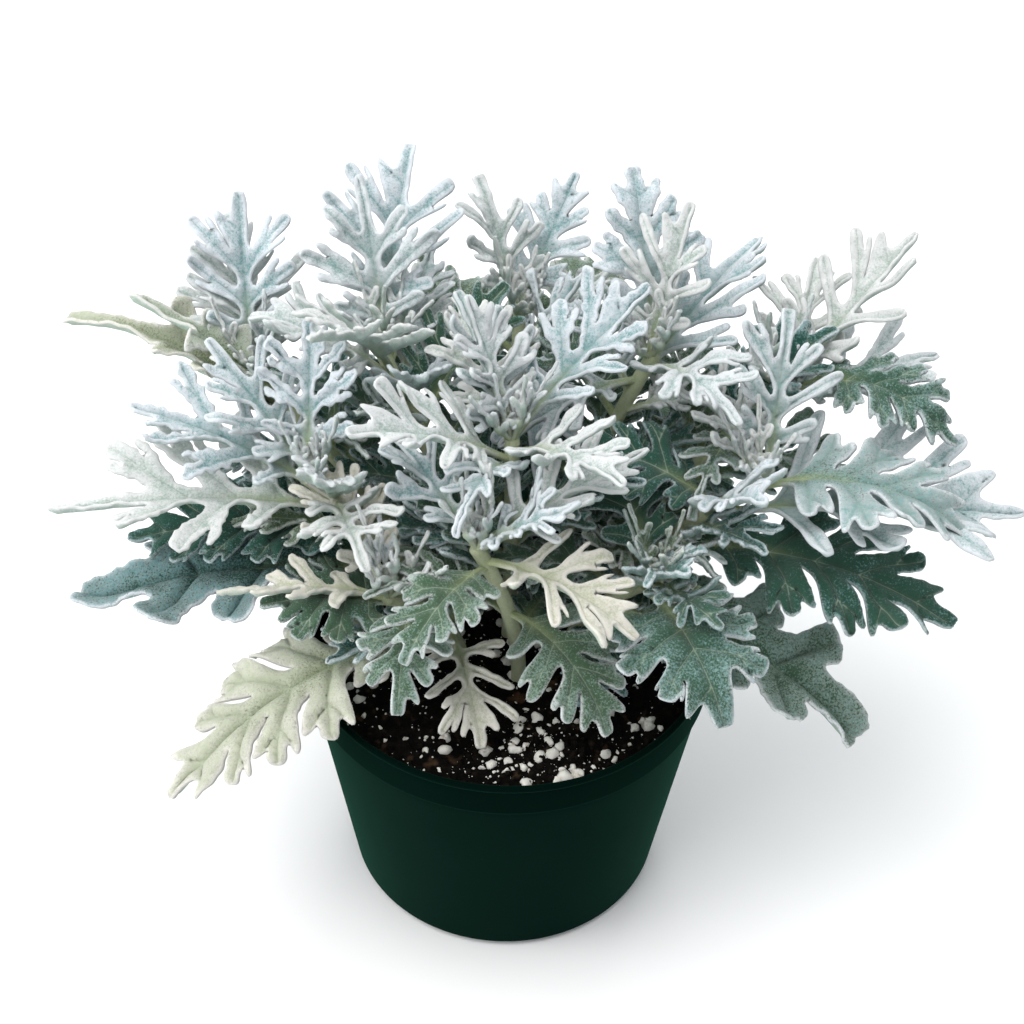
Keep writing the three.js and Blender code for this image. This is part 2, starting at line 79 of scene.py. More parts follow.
def makeCamera(plan):
    camera = addObject("camera", bpy.data.cameras.new("camera"))
    camera.data.lens = plan["lens"]
    rise = plan["elevation"] * degree
    away = Vector((0, -math.cos(rise), math.sin(rise))) * plan["distance"]
    tilt = Matrix.Rotation(math.pi / 2 - rise, 4, "X")
    roll = Matrix.Rotation(plan["roll"] * degree, 4, "Z")
    camera.matrix_world = Matrix.Translation(Vector(plan["target"]) + away) @ tilt @ roll
    bpy.context.scene.camera = camera


def makeLights(plan):
    for name in ("key", "fill", "rim"):
        place, aim, size, watts, colour = plan[name]
        light = addObject(name, bpy.data.lights.new(name, "AREA"))
        light.data.size = size
        light.data.energy = watts
        light.data.color = colour
        light.location = place
        light.rotation_euler = (Vector(aim) - Vector(place)).to_track_quat("-Z", "Y").to_euler()
    world = bpy.data.worlds.new("softSky")
    world.use_nodes = True
    sky = world.node_tree.nodes["Background"]
    sky.inputs["Color"].default_value = (*plan["sky"], 1)
    sky.inputs["Strength"].default_value = plan["skyStrength"]
    bpy.context.scene.world = world


makeCamera(cameraPlan)
makeLights(lightPlan)
bpy.context.scene.view_settings.view_transform = "Standard"
report("camera and lights")


# nodes

def pick(sockets, key):
    if isinstance(key, int):
        return sockets[key]
    for socket in sockets:
        if key in (socket.identifier, socket.name):
            return socket
    raise KeyError(f"no socket {key}")


class Wire:
    # one socket of a node tree: plain sums and products of wires add Math nodes
    def __init__(self, tree, socket=None):
        self.tree = tree
        self.socket = socket

    def node(self, kind, settings=None, sockets=None, out=0):
        made = self.tree.nodes.new(kind)
        for name, value in (settings or {}).items():
            if name == "stops":
                for i, (at, colour) in enumerate(value):
                    stop = made.color_ramp.elements[i] if i < 2 else made.color_ramp.elements.new(at)
                    stop.position = at
                    stop.color = colour
            else:
                setattr(made, name, value)
        for key, value in (sockets or {}).items():
            target = pick(made.inputs, key)
            if isinstance(value, Wire):
                self.tree.links.new(value.socket, target)
            else:
                target.default_value = value
        return Wire(self.tree, pick(made.outputs, out) if made.outputs else None)

    def work(self, operation, first, second):
        return self.node("ShaderNodeMath", {"operation": operation}, {0: first, 1: second})

    def __add__(self, other):
        return self.work("ADD", self, other)

    def __sub__(self, other):
        return self.work("SUBTRACT", self, other)

    def __rsub__(self, other):
        return self.work("SUBTRACT", other, self)

    def __mul__(self, other):
        return self.work("MULTIPLY", self, other)

    def __truediv__(self, other):
        return self.work("DIVIDE", self, other)

    def __rtruediv__(self, other):
        return self.work("DIVIDE", other, self)

    def __pow__(self, other):
        return self.work("POWER", self, other)

    __radd__ = __add__
    __rmul__ = __mul__


def clamped(value):
    return value.node("ShaderNodeClamp", None, {"Value": value})


def mixed(share, first, second):
    sockets = {"Factor_Float": share}
    for key, side in (("A_Color", first), ("B_Color", second)):
        sockets[key] = (*side, 1) if isinstance(side, tuple) else side
    return share.node("ShaderNodeMix", {"data_type": "RGBA"}, sockets, "Result_Color")


def near(gap, width):
    # 1 on a line or an edge, falling off over the given width
    return 1 / (1 + (gap / width) ** 2)


def newMaterial(name):
    material = bpy.data.materials.new(name)
    material.use_nodes = True
    material.node_tree.nodes.clear()
    wire = Wire(material.node_tree)
    place = wire.node("ShaderNodeTexCoord", out="Object")
    return material, wire, place


def grain(place, scale, detail=2.0, roughness=0.5):
    sockets = {"Vector": place, "Scale": scale, "Detail": detail, "Roughness": roughness}
    return place.node("ShaderNodeTexNoise", None, sockets, "Fac")


def finish(material, wire, sockets, bump=None):
    if bump:
        height, distance, strength = bump
        sides = {"Height": height, "Distance": distance, "Strength": strength}
        sockets = {**sockets, "Normal": wire.node("ShaderNodeBump", None, sides)}
    surface = wire.node("ShaderNodeBsdfPrincipled", None, sockets)
    wire.node("ShaderNodeOutputMaterial", None, {"Surface": surface})
    return material


feltPlan = {
    "coolWool": (0.685, 0.73, 0.77),
    "warmWool": (0.75, 0.72, 0.65),
    "coolShadeAndGreyFelt": (0.18, 0.335, 0.35),  # painted shade in the grooves of white leaves, and the grey felt of green leaves
    "warmShadeAndGreyFelt": (0.46, 0.49, 0.34),
    "coolFlesh": (0.009, 0.07, 0.049),
    "warmFlesh": (0.13, 0.17, 0.06),
    "vein": (0.34, 0.42, 0.32),
    "under": (0.26, 0.4, 0.32),
    "stalk": (0.36, 0.42, 0.20),
    # scale, detail and roughness of the felt's grain, fine to coarse
    "grains": ((1300, 3, 0.7), (420, 3), (90, 3)),
}


def leafMaterial(plan):
    material, wire, place = newMaterial("feltedLeaf")
    read = {
        name: wire.node("ShaderNodeAttribute", {"attribute_name": name}, None, "Fac")
        for name in ("green", "warm", "edgeGap", "veinGap", "upper", "stalk")
    }
    green = read["green"]
    fuzz, mottle, blotch = [grain(place, *sizes) - 0.5 for sizes in plan["grains"]]
    thin = green ** 1.4
    rim = near(read["edgeGap"], 1.1 - green * 0.25) ** 2
    # painted shade: a thin dark line on each vein and a wider valley beside it on white leaves; on green
    # leaves the thin line is a pale vein instead
    creaseShadeAndVein = near(read["veinGap"], 0.3)
    valleyShade = near(read["veinGap"], 1.5)
    wool = mixed(read["warm"], plan["coolWool"], plan["warmWool"])
    shadeAndGreyFelt = mixed(read["warm"], plan["coolShadeAndGreyFelt"], plan["warmShadeAndGreyFelt"])
    flesh = mixed(read["warm"], plan["coolFlesh"], plan["warmFlesh"])
    # shade is the share of the groove colour: painted shade along the veins and in their valleys, and grey
    # felt where the leaf is green or the felt is thin; the rim keeps the plain wool colour
    shade = 0.12 + green * 0.8 + valleyShade * 0.32 + creaseShadeAndVein * 0.15 - rim * 0.9
    shade = shade + blotch * 1.1 + mottle * (1 + green) + fuzz * (1.9 + green * 2.4)
    wool = mixed(clamped(shade), wool, shadeAndGreyFelt)
    bare = rim * 0.8 + blotch * 1.3 + mottle * 0.8 - 0.05
    cover = 1.3 - thin * 1.6 + green * bare * 1.4 + fuzz * (0.5 + green * 4.5)
    top = mixed(clamped(cover), flesh, wool)
    top = mixed(clamped(creaseShadeAndVein * green * 0.9), top, plan["vein"])
    below = mixed(clamped(0.4 + fuzz + rim * 0.4), plan["under"], wool)
    colour = mixed(read["upper"], below, top)
    colour = mixed(clamped(read["stalk"] * (0.85 + fuzz)), colour, plan["stalk"])
    height = grain(place, 2200, 3, 0.65) + grain(place, 700, 2) * 0.8
    sockets = {
        "Base Color": colour,
        "Roughness": 0.92,
        "Specular IOR Level": 0.12,
        "Sheen Weight": 0.15,
        "Sheen Roughness": 0.6,
    }
    return finish(material, wire, sockets, (height, 0.0008, 0.9))


# colours of the other finishes, each set from its plainest to its rarest
tones = {
    "hair": ((0.7, 0.78, 0.8), (0.95, 0.97, 0.97)),
    "pot": ((0.0007, 0.0042, 0.0031), (0.0012, 0.0062, 0.0045), (0.004, 0.013, 0.010)),
    "potSheen": (0.28, 0.85, 0.6),
    "pottingMix": ((0.0015, 0.0013, 0.0011), (0.009, 0.007, 0.0055)),
    "peatCrumb": ((0.002, 0.0017, 0.0014), (0.02, 0.014, 0.01)),
    "bark": (0.06, 0.034, 0.018),
    "perlite": ((0.82, 0.8, 0.74), (0.4, 0.32, 0.22)),
    "floor": ((0.9, 0.9, 0.9), (0.92, 0.92, 0.92)),
}


def hairMaterial():
    material, wire, place = newMaterial("leafHair")
    colour = mixed(grain(place, 60), *tones["hair"])
    return finish(material, wire, {"Base Color": colour, "Roughness": 0.8, "Sheen Weight": 0.2})


def potMaterial():
    material, wire, place = newMaterial("potPlastic")
    streaks = place.node("ShaderNodeMapping", None, {"Vector": place, "Scale": (1, 1, 0.12)})
    streak = grain(streaks, 90, 3)
    cloud = grain(place, 25, 3)
    dust = grain(place, 1400, 2, 0.7)
    dark, light, dusty = tones["pot"]
    colour = mixed(clamped(cloud * 1.2 - 0.2), dark, light)
    colour = mixed(clamped((dust - 0.62) * 2 + (streak - 0.6) * 0.5), colour, dusty)
    rough = 0.4 + streak * 0.1 + dust * 0.06
    height = grain(place, 900, 2) * 0.4 + streak
    sockets = {
        "Base Color": colour,
        "Roughness": rough,
        "Specular IOR Level": 0.0,
        "Sheen Weight": 0.1,
        "Sheen Roughness": 0.35,
        "Sheen Tint": (*tones["potSheen"], 1),
    }
    return finish(material, wire, sockets, (height, 0.0002, 0.25))


def peatMaterial(name):
    material, wire, place = newMaterial(name)
    lump = grain(place, 260, 4, 0.65)
    bark = grain(place, 130, 2)
    colour = mixed(clamped((lump - 0.42) * 3), *tones[name])
    colour = mixed(clamped((bark - 0.62) * 8), colour, tones["bark"])
    height = grain(place, 1500, 4, 0.7)
    sockets = {"Base Color": colour, "Roughness": 0.9, "Specular IOR Level": 0.08}
    return finish(material, wire, sockets, (height, 0.0008, 0.8))


def perliteMaterial():
    material, wire, place = newMaterial("perlite")
    dirt = grain(place, 320, 3, 0.6)
    colour = mixed(clamped((dirt - 0.55) * 4), *tones["perlite"])
    height = grain(place, 2600, 3, 0.7)
    sockets = {"Base Color": colour, "Roughness": 0.8, "Specular IOR Level": 0.3}
    return finish(material, wire, sockets, (height, 0.0005, 0.7))


def floorMaterial():
    material, wire, place = newMaterial("paleFloor")
    colour = mixed(grain(place, 3), *tones["floor"])
    return finish(material, wire, {"Base Color": colour, "Roughness": 0.9})


materials = {
    "leaf": leafMaterial(feltPlan),
    "hair": hairMaterial(),
    "pot": potMaterial(),
    "mix": peatMaterial("pottingMix"),
    "crumb": peatMaterial("peatCrumb"),
    "perlite": perliteMaterial(),
    "floor": floorMaterial(),
}
report("materials")


# meshes

def meshObject(name, points, faces, material, values=None):
    mesh = bpy.data.meshes.new(name)
    mesh.from_pydata(points, [], faces)
    for label, numbers in (values or {}).items():
        layer = mesh.attributes.new(label, "FLOAT", "POINT")
        layer.data.foreach_set("value", np.asarray(numbers, dtype=np.float32))
    mesh.materials.append(material)
    mesh.shade_smooth()
    return addObject(name, mesh)


def seeded(n):
    # a repeatable number from 0 to 1 for each n
    x = math.sin(n * 127.1 + 311.7) * 43758.5453
    return x - math.floor(x)


def draws(seed, steps):
    # repeatable numbers from -1 to 1
    return [2 * seeded(seed + n) - 1 for n in steps]


def phasesFrom(seed, count):
    return [2 * math.pi * seeded(seed + k) for k in range(count)]


def leftOf(run):
    # directions a quarter turn to the left
    return np.stack([-run[..., 1], run[..., 0]], -1)


# pot

potPlan = {
    "height": 116,
    "rimRadius": 77.5,
    "baseRadius": 60,
    "wall": 1.8,
    "floor": 2.4,
    "bandHeight": 15,
    "bandStep": 1.9,
    "lipHeight": 2.2,
    "rimWidth": 2.4,
    "footRound": 3,
    "insideFoot": (2.5, 2),  # slope between floor and wall: how far in and how far up
    "edgeRound": 0.9,
    "drainHoles": 6,
    "drainRadius": 4.5,
    "drainCircle": 44,
    "sides": 160,
}
bandBottom = potPlan["height"] - potPlan["bandHeight"]
potTaper = (potPlan["rimRadius"] - potPlan["bandStep"] - potPlan["baseRadius"]) / bandBottom


def outerRadius(z):
    return potPlan["baseRadius"] + potTaper * z


def innerRadius(z):
    return outerRadius(z) - potPlan["wall"]


def rounded(corners, radius, steps=4):
    # each inner corner of the profile becomes a short curve
    profile = [corners[0]]
    for before, corner, after in zip(corners, corners[1:], corners[2:]):
        corner = Vector(corner)
        ends = []
        for side in (Vector(before), Vector(after)):
            reach = min(radius, (side - corner).length * 0.45)
            ends.append(corner + (side - corner).normalized() * reach)
        for i in range(steps + 1):
            t = i / steps
            profile.append((1 - t) ** 2 * ends[0] + 2 * t * (1 - t) * corner + t * t * ends[1])
    profile.append(corners[-1])
    return [tuple(p) for p in profile]


def turned(profile, sides):
    # points and faces of a body turned about Z, from a profile that starts and ends on the axis
    points = [(0, 0, profile[0][1]), (0, 0, profile[-1][1])]
    rings = profile[1:-1]
    for r, z in rings:
        for i in range(sides):
            angle = 2 * math.pi * i / sides
            points.append((r * math.cos(angle), r * math.sin(angle), z))
    faces = []
    for i in range(sides):
        j = (i + 1) % sides
        faces.append((0, 2 + j, 2 + i))
        for k in range(len(rings) - 1):
            low = 2 + k * sides
            faces.append((low + i, low + j, low + sides + j, low + sides + i))
        top = 2 + (len(rings) - 1) * sides
        faces.append((1, top + i, top + j))
    return points, faces


def evaluatedMesh(host):
    graph = bpy.context.evaluated_depsgraph_get()
    return bpy.data.meshes.new_from_object(host.evaluated_get(graph))


def makePot(plan):
    rim, high, lip = plan["rimRadius"], plan["height"], plan["height"] - plan["lipHeight"]
    step = outerRadius(bandBottom)
    inwards, upwards = plan["insideFoot"]
    corners = [
        (0, 0),
        (plan["baseRadius"] - plan["footRound"], 0),
        (outerRadius(plan["footRound"]), plan["footRound"]),
        (step, bandBottom),
        (step + plan["bandStep"] - 0.5, bandBottom + 0.6),
        (rim - 0.8, lip),
        (rim, lip + 0.3),
        (rim, high),
        (rim - plan["rimWidth"], high),
        (innerRadius(bandBottom) + 0.4, bandBottom),
        (innerRadius(plan["floor"] + upwards), plan["floor"] + upwards),
        (innerRadius(0) - inwards, plan["floor"]),
        (0, plan["floor"]),
    ]
    points, faces = turned(rounded(corners, plan["edgeRound"]), plan["sides"])
    pot = meshObject("nurseryPot", [Vector(p) * mm for p in points], faces, materials["pot"])
    drill = bmesh.new()
    radius = plan["drainRadius"] * mm
    for i in range(plan["drainHoles"]):
        angle = (i + 0.5) / plan["drainHoles"] * 2 * math.pi
        spot = Vector((math.cos(angle), math.sin(angle), 0)) * plan["drainCircle"] * mm
        sizes = {"segments": 32, "depth": 8 * plan["floor"] * mm, "radius1": radius, "radius2": radius}
        bmesh.ops.create_cone(drill, cap_ends=True, matrix=Matrix.Translation(spot), **sizes)
    cutter = addObject("drainDrill", bpy.data.meshes.new("drainDrill"))
    drill.to_mesh(cutter.data)
    drill.free()
    cut = pot.modifiers.new("drainHoles", "BOOLEAN")
    cut.object = cutter
    pot.data = evaluatedMesh(pot)
    pot.modifiers.clear()
    pot.data.set_sharp_from_angle(angle=40 * degree)
    bpy.data.objects.remove(cutter)
    return pot


pot = makePot(potPlan)
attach(pot, "root")
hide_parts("pot")
report("pot")


# potting mix

mixPlan = {
    "top": 105,  # level at the wall
    "mound": 4,
    "fit": 0.3,
    "rings": 90,
    "sides": 220,
    # size of a lump: how high it stands
    "lumps": {14: 1.3, 5: 0.9, 2.2: 0.5},
    # where perlite has gathered, how far it reaches, and how much of it lies elsewhere
    "perlitePlace": (18, -56),
    "perliteReach": (30, 16),
    "perliteElsewhere": 0.25,
}


def soilLevel(r):
    return mixPlan["top"] + mixPlan["mound"] * (1 - (r / potPlan["rimRadius"]) ** 2)


def makeMix(plan):
    fit, bottom = plan["fit"], potPlan["floor"]
    edge = innerRadius(plan["top"]) - 2 * fit
    inwards, upwards = potPlan["insideFoot"]
    profile = [
        (0, bottom + fit),
        (innerRadius(0) - inwards - fit, bottom + fit),
        (innerRadius(bottom + upwards) - fit, bottom + upwards + fit),
        (edge, plan["top"] - 0.5),
    ]
    for i in range(1, plan["rings"] + 1):
        r = edge * (1 - i / plan["rings"])
        profile.append((r, soilLevel(r)))
    points, faces = turned(profile, plan["sides"])
    white = []
    for i, (x, y, z) in enumerate(points):
        r = math.hypot(x, y)
        if z > plan["top"] - 0.1:
            for size, height in plan["lumps"].items():
                z += height * noise.noise(Vector((x, y, 7.0)) / size)
            points[i] = (x, y, z)
        white.append(perliteShare(x, y) if z > plan["top"] - 2 and r < edge - 1 else 0)
    scaled = [Vector(p) * mm for p in points]
    return meshObject("pottingMix", scaled, faces, materials["mix"], {"grainShare": white})


def perliteShare(x, y):
    across, along = np.subtract((x, y), mixPlan["perlitePlace"]) / mixPlan["perliteReach"]
    return mixPlan["perliteElsewhere"] + math.exp(-across ** 2 - along ** 2)


def newTree(name, sizes):
    # a tree, its inputs as wires, and the identifiers of these inputs
    tree = bpy.data.node_groups.new(name, "GeometryNodeTree")
    names = {}
    for label, kind in {"Geometry": "Geometry", **sizes, "Material": "Material"}.items():
        item = tree.interface.new_socket(label, in_out="INPUT", socket_type=f"NodeSocket{kind}")
        names[label] = item.identifier
    tree.interface.new_socket("Geometry", in_out="OUTPUT", socket_type="NodeSocketGeometry")
    entry = Wire(tree).node("NodeGroupInput").socket.node
    return tree, {label: Wire(tree, pick(entry.outputs, label)) for label in names}, names


def scattered(inputs, share):
    # points all over the mesh, more of them where the share is larger
    return share.node("GeometryNodeDistributePointsOnFaces", None, {
        "Mesh": inputs["Geometry"], "Density": inputs["Density"] * share, "Seed": inputs["Seed"],
    })


def drawn(inputs, low, high):
    # a number for each point
    sockets = {"Min_001": low, "Max_001": high, "Seed": inputs["Seed"] + 1}
    return inputs["Seed"].node("FunctionNodeRandomValue", None, sockets, "Value_001")


def drawnVector(inputs, low, high):
    sockets = {"Min": (low,) * 3, "Max": (high,) * 3, "Seed": inputs["Seed"]}
    return inputs["Seed"].node("FunctionNodeRandomValue", {"data_type": "FLOAT_VECTOR"}, sockets)


def stretched(vector, factor):
    return vector.node("ShaderNodeVectorMath", {"operation": "SCALE"}, {0: vector, "Scale": factor})


def copied(shape, points, turn, size):
    # a real copy of the shape on each point
    sockets = {"Points": points, "Instance": shape, "Rotation": turn, "Scale": size}
    placed = shape.node("GeometryNodeInstanceOnPoints", None, sockets)
    return shape.node("GeometryNodeRealizeInstances", None, {"Geometry": placed})


def closeTree(solid, material):
    painted = solid.node("GeometryNodeSetMaterial", None, {"Geometry": solid, "Material": material})
    solid.node("NodeGroupOutput", None, {"Geometry": painted})


def grainTree():
    # rough grains scattered over a surface, each pressed a little into it
    sizes = dict.fromkeys(("Density", "Smallest", "Largest", "Roughness", "Flatness"), "Float")
    tree, inputs, names = newTree("scatteredGrains", {**sizes, "Seed": "Int", "Detail": "Int"})
    start = Wire(tree)
    points = scattered(inputs, start.node("GeometryNodeInputNamedAttribute", None, {"Name": "grainShare"}))
    shape = start.node("GeometryNodeMeshIcoSphere", None, {"Radius": 0.5, "Subdivisions": inputs["Detail"]})
    turn = drawnVector(inputs, 0, 2 * math.pi)
    size = inputs["Smallest"] + (inputs["Largest"] - inputs["Smallest"]) * drawn(inputs, 0.0, 1.0) ** 3
    flat = start.node("ShaderNodeCombineXYZ", None, {"X": size, "Y": size, "Z": size * inputs["Flatness"]})
    solid = copied(shape, points, turn, flat)
    sockets = {"Vector": start.node("GeometryNodeInputPosition"), "Scale": 1 / (inputs["Largest"] * 0.5)}
    rough = start.node("ShaderNodeTexNoise", None, sockets, "Color")
    shift = start.node("ShaderNodeVectorMath", {"operation": "SUBTRACT"}, {0: rough, 1: (0.5, 0.5, 0.5)})
    shift = stretched(shift, inputs["Roughness"] * inputs["Largest"])
    solid = start.node("GeometryNodeSetPosition", None, {"Geometry": solid, "Offset": shift})
    closeTree(solid, inputs["Material"])
    return tree, names


def grown(name, host, tree, names, values):
    # runs a node tree on a host and keeps what it makes as a plain mesh of its own
    modifier = host.modifiers.new(name, "NODES")
    modifier.node_group = tree
    for label, value in values.items():
        modifier[names[label]] = value
    made = addObject(name, evaluatedMesh(host))
    host.modifiers.remove(modifier)
    made.data.materials.clear()
    made.data.materials.append(values["Material"])
    made.data.shade_smooth()
    print(name, len(made.data.polygons), "faces")
    return made


grainPlans = {
    "peatCrumbs": {
        "Density": 260000.0, "Seed": 4, "Smallest": 0.0006, "Largest": 0.0042, "Detail": 1,
        "Roughness": 0.5, "Flatness": 0.7, "Material": materials["crumb"],
    },
    "perliteGrains": {
        "Density": 60000.0, "Seed": 9, "Smallest": 0.0009, "Largest": 0.0058, "Detail": 2,
        "Roughness": 0.75, "Flatness": 0.8, "Material": materials["perlite"],
    },
    "perliteDust": {
        "Density": 170000.0, "Seed": 21, "Smallest": 0.0003, "Largest": 0.0012, "Detail": 1,
        "Roughness": 0.4, "Flatness": 0.9, "Material": materials["perlite"],
    },
}


def makeGrains(plans, host):
    tree, names = grainTree()
    for name, values in plans.items():
        made = grown(name, host, tree, names, values)
        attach(made, "root")


pottingMix = makeMix(mixPlan)
makeGrains(grainPlans, pottingMix)
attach(pottingMix, "root")
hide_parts("potting_mix")
report("potting mix")


# leaves

stemPlan = {
    "radius": 2.8,
    "buried": 30,
    "bend": 0.5,  # share of the height at which a stem leans out
    "sides": 14,
    "rings": 46,
    "taper": 0.1,
    "jointLength": 0.03,  # share of the stem that is thicker where a leaf joins
    "jointSwell": 0.08,
    "ridges": 5,
    "ridgeHeight": 0.06,
    # what the felt's material reads on a stem
    "felt": {"green": 0.3, "warm": 0.8, "edgeGap": 9, "veinGap": 9, "upper": 1, "stalk": 0.8},
}
bladePlan = {
    "thick": 1.0,
    "petioleThick": 2.6,
    "petioleHalfWidth": 1.8,
    "shoulder": 8,
    "frameSteps": 24,
    "fineSteps": 96,
    "felt": 1.45,  # thickness with its felt, as a share
    "edgeRadius": 0.9,
    "plump": 1.25,  # width of the lobes' ends, as a share
    "blunt": 0.62,  # width of the teeth, as a share of the lobes' ends
    "forkLean": 0.6,  # how far a lobe's end leans away from a lone tooth, in widths of that tooth
    "soften": 1.2,  # how far the fold at the rib is rounded
    "ripple": 0.34,  # height of the outline's small waves
    "rippleRuns": (4.6, 6.7, 9.1),  # and their lengths
    "keel": 0.9,  # how far the rib stands out below
    "sway": 1.5,  # height of the blade's gentle waves
    "rimLift": 0.45,  # how far the felted rim stands up
    "grooveWidth": 1.15,
    "puffWidth": 2.2,  # distance from a vein at which the felt is fully swollen
    "rimWidth": 0.6,
    "onEdge": 0.12,  # what lies nearer to the outline than this is on it
    "clearWidth": 1.2,  # distance from the edge at which veins and felt reach their full depth
    "bladeStart": 0.15,  # share of the blade over which the stalk's plain surface ends
    "lobeLift": 0.05,  # how far lobes rise or fall, as a share of the leaf's length
    "lobeTwist": 0.42,
}
# how deep the grooves of the veins are, against the rib's
veinWeights = {"rib": 1.0, "lobe": 0.7, "tooth": 0.5}
# waves of the blade: which random phase each takes, and its lengths along the rib and out from it
bladeWaves = {
    "swayAlong": (0, 7, math.inf),
    "swayOut": (1, math.inf, 6),
    "smallSway": (2, 3.4, 4.1),
    "crossSway": (3, -5, 2.9),
    "frillAlong": (0, 3.3, math.inf),
    "frillOut": (2, math.inf, 2.7),
    "crimp": (1, 1.3, 1.6),
}
# fineness of an outline and share of its ripple, tried in turn until it doesn't cross itself
outlineTries = ((1, 1), (1, 0.6), (1, 0.3), (1, 0), (0.8, 0), (0.6, 0), (0.4, 0), (0.2, 0), (0, 0))
# spacing of points along the edge, along the veins and in between
meshSteps = {
    "grown": (1.15, 1.3, 1.5),
    "filling": (1.45, 2.0, 2.3),
    "young": (0.9, 1.4, 1.6),
}
# each kind of leaf is one column; lengths are shares of the blade's half width where nothing else is said
kindNames = ("lace", "broad", "lobed", "fan", "plain", "scalloped", "strap", "young")
kindTraits = {
    "pairs": (3, 4, 3, 3, 3, 3, 3, 2),  # lobes on each side of the rib
    "petiole": (0.16, 0.18, 0.16, 0.3, 0.2, 0.2, 0.16, 0.16),  # share of the whole leaf's length
    "width": (0.98, 0.7, 0.9, 1.2, 0.7, 0.7, 0.42, 0.62),  # of the blade, share of its length
    "wing": (0.1, 0.26, 0.24, 0.34, 0.16, 0.62, 0.45, 0.2),  # half width between the lobes
    "reach": (  # how far each lobe goes out, base to tip
        (0.78, 1.0, 0.88), (0.62, 0.94, 1.0, 0.8), (0.78, 1.0, 0.86), (0.88, 1.0, 0.92),
        (0.8, 1.0, 0.8), (0.82, 1.0, 0.95), (0.8, 1.0, 0.8), (0.85, 1.0),
    ),
    "first": (66, 74, 74, 112, 62, 74, 58, 52),  # direction of the first lobe, degrees from the rib
    "last": (42, 40, 42, 44, 40, 48, 40, 34),
    "loose": (5, 2, 3, 2, 5, 2, 2, 5),  # how far a lobe's direction may differ, degrees
    "vary": (0.18, 0.1, 0.12, 0.1, 0.18, 0.1, 0.1, 0.18),  # how far its reach may
    "forked": (0.5, 1, 0.85, 0.9, 0, 0, 0, 0),  # share of the lobes' side teeth that have grown
    "bareEnds": (0, 1, 1, 0, 0, 0, 0, 0),  # no tooth at the stalk's end and none at the tip's
    "root": (0, 0, 0, 0.2, 0, 0, 0, 0),  # where a lobe's stalk starts, share of its reach
    "neck": (0.17, 0.36, 0.34, 0.42, 0.3, 0.4, 0.36, 0.3),  # its half width, share of the room
    "spread": (0.36, 0.45, 0.44, 0.4, 0, 0, 0, 0),  # how far side teeth stand out, share of the room
    "finger": (0.084, 0.1, 0.1, 0.12, 0.1, 0.28, 0.18, 0.14),  # half width of a lobe's end
    "near": (0.72, 0.82, 0.82, 0.8, 0, 0, 0, 0),  # how far out the first tooth stands, share of the lobe
    "far": (0.84, 0.92, 0.92, 0.9, 0, 0, 0, 0),  # and the second
    "notch": (0.076, 0.11, 0.11, 0.13, 0, 0, 0, 0),  # half width of a lobe's end at its foot
    "dip": (0.26, 0.18, 0.2, 0.15, 0, 0, 0, 0),  # how deep the notches are, share of the lobe
    "tip": (0.36, 0.24, 0.3, 0.42, 0.34, 0.22, 0.36, 0.42),  # last lobe's length, share of the blade
    "tipSpread": (0.34, 0.36, 0.36, 0.4, 0, 0, 0, 0),  # reach of its side teeth
    "cup": (24, 12, 14, 6, 26, 12, 30, 46),  # how steeply the halves rise from the rib, degrees
    "curl": (-14, -34, -30, -30, -14, -34, -20, -8),  # and turn over towards their edges
    "wave": (3.6, 2.2, 2.4, 2.4, 2.0, 2.6, 4.0, 0.8),  # how far the edges rise and fall, millimetres
    "groove": (1.1, 1.2, 0.8, 1.1, 0.7, 1.5, 0.8, 0.4),  # how deep the veins lie, millimetres
    "puff": (0.1, 1.2, 0.6, 1.0, 0.3, 1.9, 0.6, 0.2),  # how far the felt swells between them
    "frill": (0.5, 1.1, 0.5, 1.1, 0.5, 1.3, 0.5, 0.5),  # how far the margin alone goes up and down
    "turnUp": (0, 0, 0, 0, 0, 4.6, 0, 0),  # how far it is turned up, millimetres
    "turnRoom": (2.5, 2.5, 2.5, 2.5, 2.5, 3.6, 2.5, 2.5),  # and how wide it is
    "ripple": (1, 0.6, 1, 0.6, 1, 0.4, 0.4, 1),  # how uneven its outline is
    "broader": (1, 1, 1, 1, 1, 1, 1.35, 1),  # fine blade's width, share of the solid's
}
leafKinds = {
    name: {trait: values[i] for trait, values in kindTraits.items()} for i, name in enumerate(kindNames)
}
# how far a leaf has lost its white felt, and how warm its felt is
looks = {
    "snow": (0.04, 0.3),
    "frost": (0.2, 0.0),
    "silver": (0.4, 0.2),
    "ivory": (0.12, 1.0),
    "cream": (0.34, 0.85),
    "olive": (0.5, 0.75),
    "dusk": (0.6, 0.0),
    "haze": (0.58, 0.1),
    "sage": (0.72, 0.35),
    "teal": (0.75, 0.0),
    "deep": (0.99, 0.1),
}
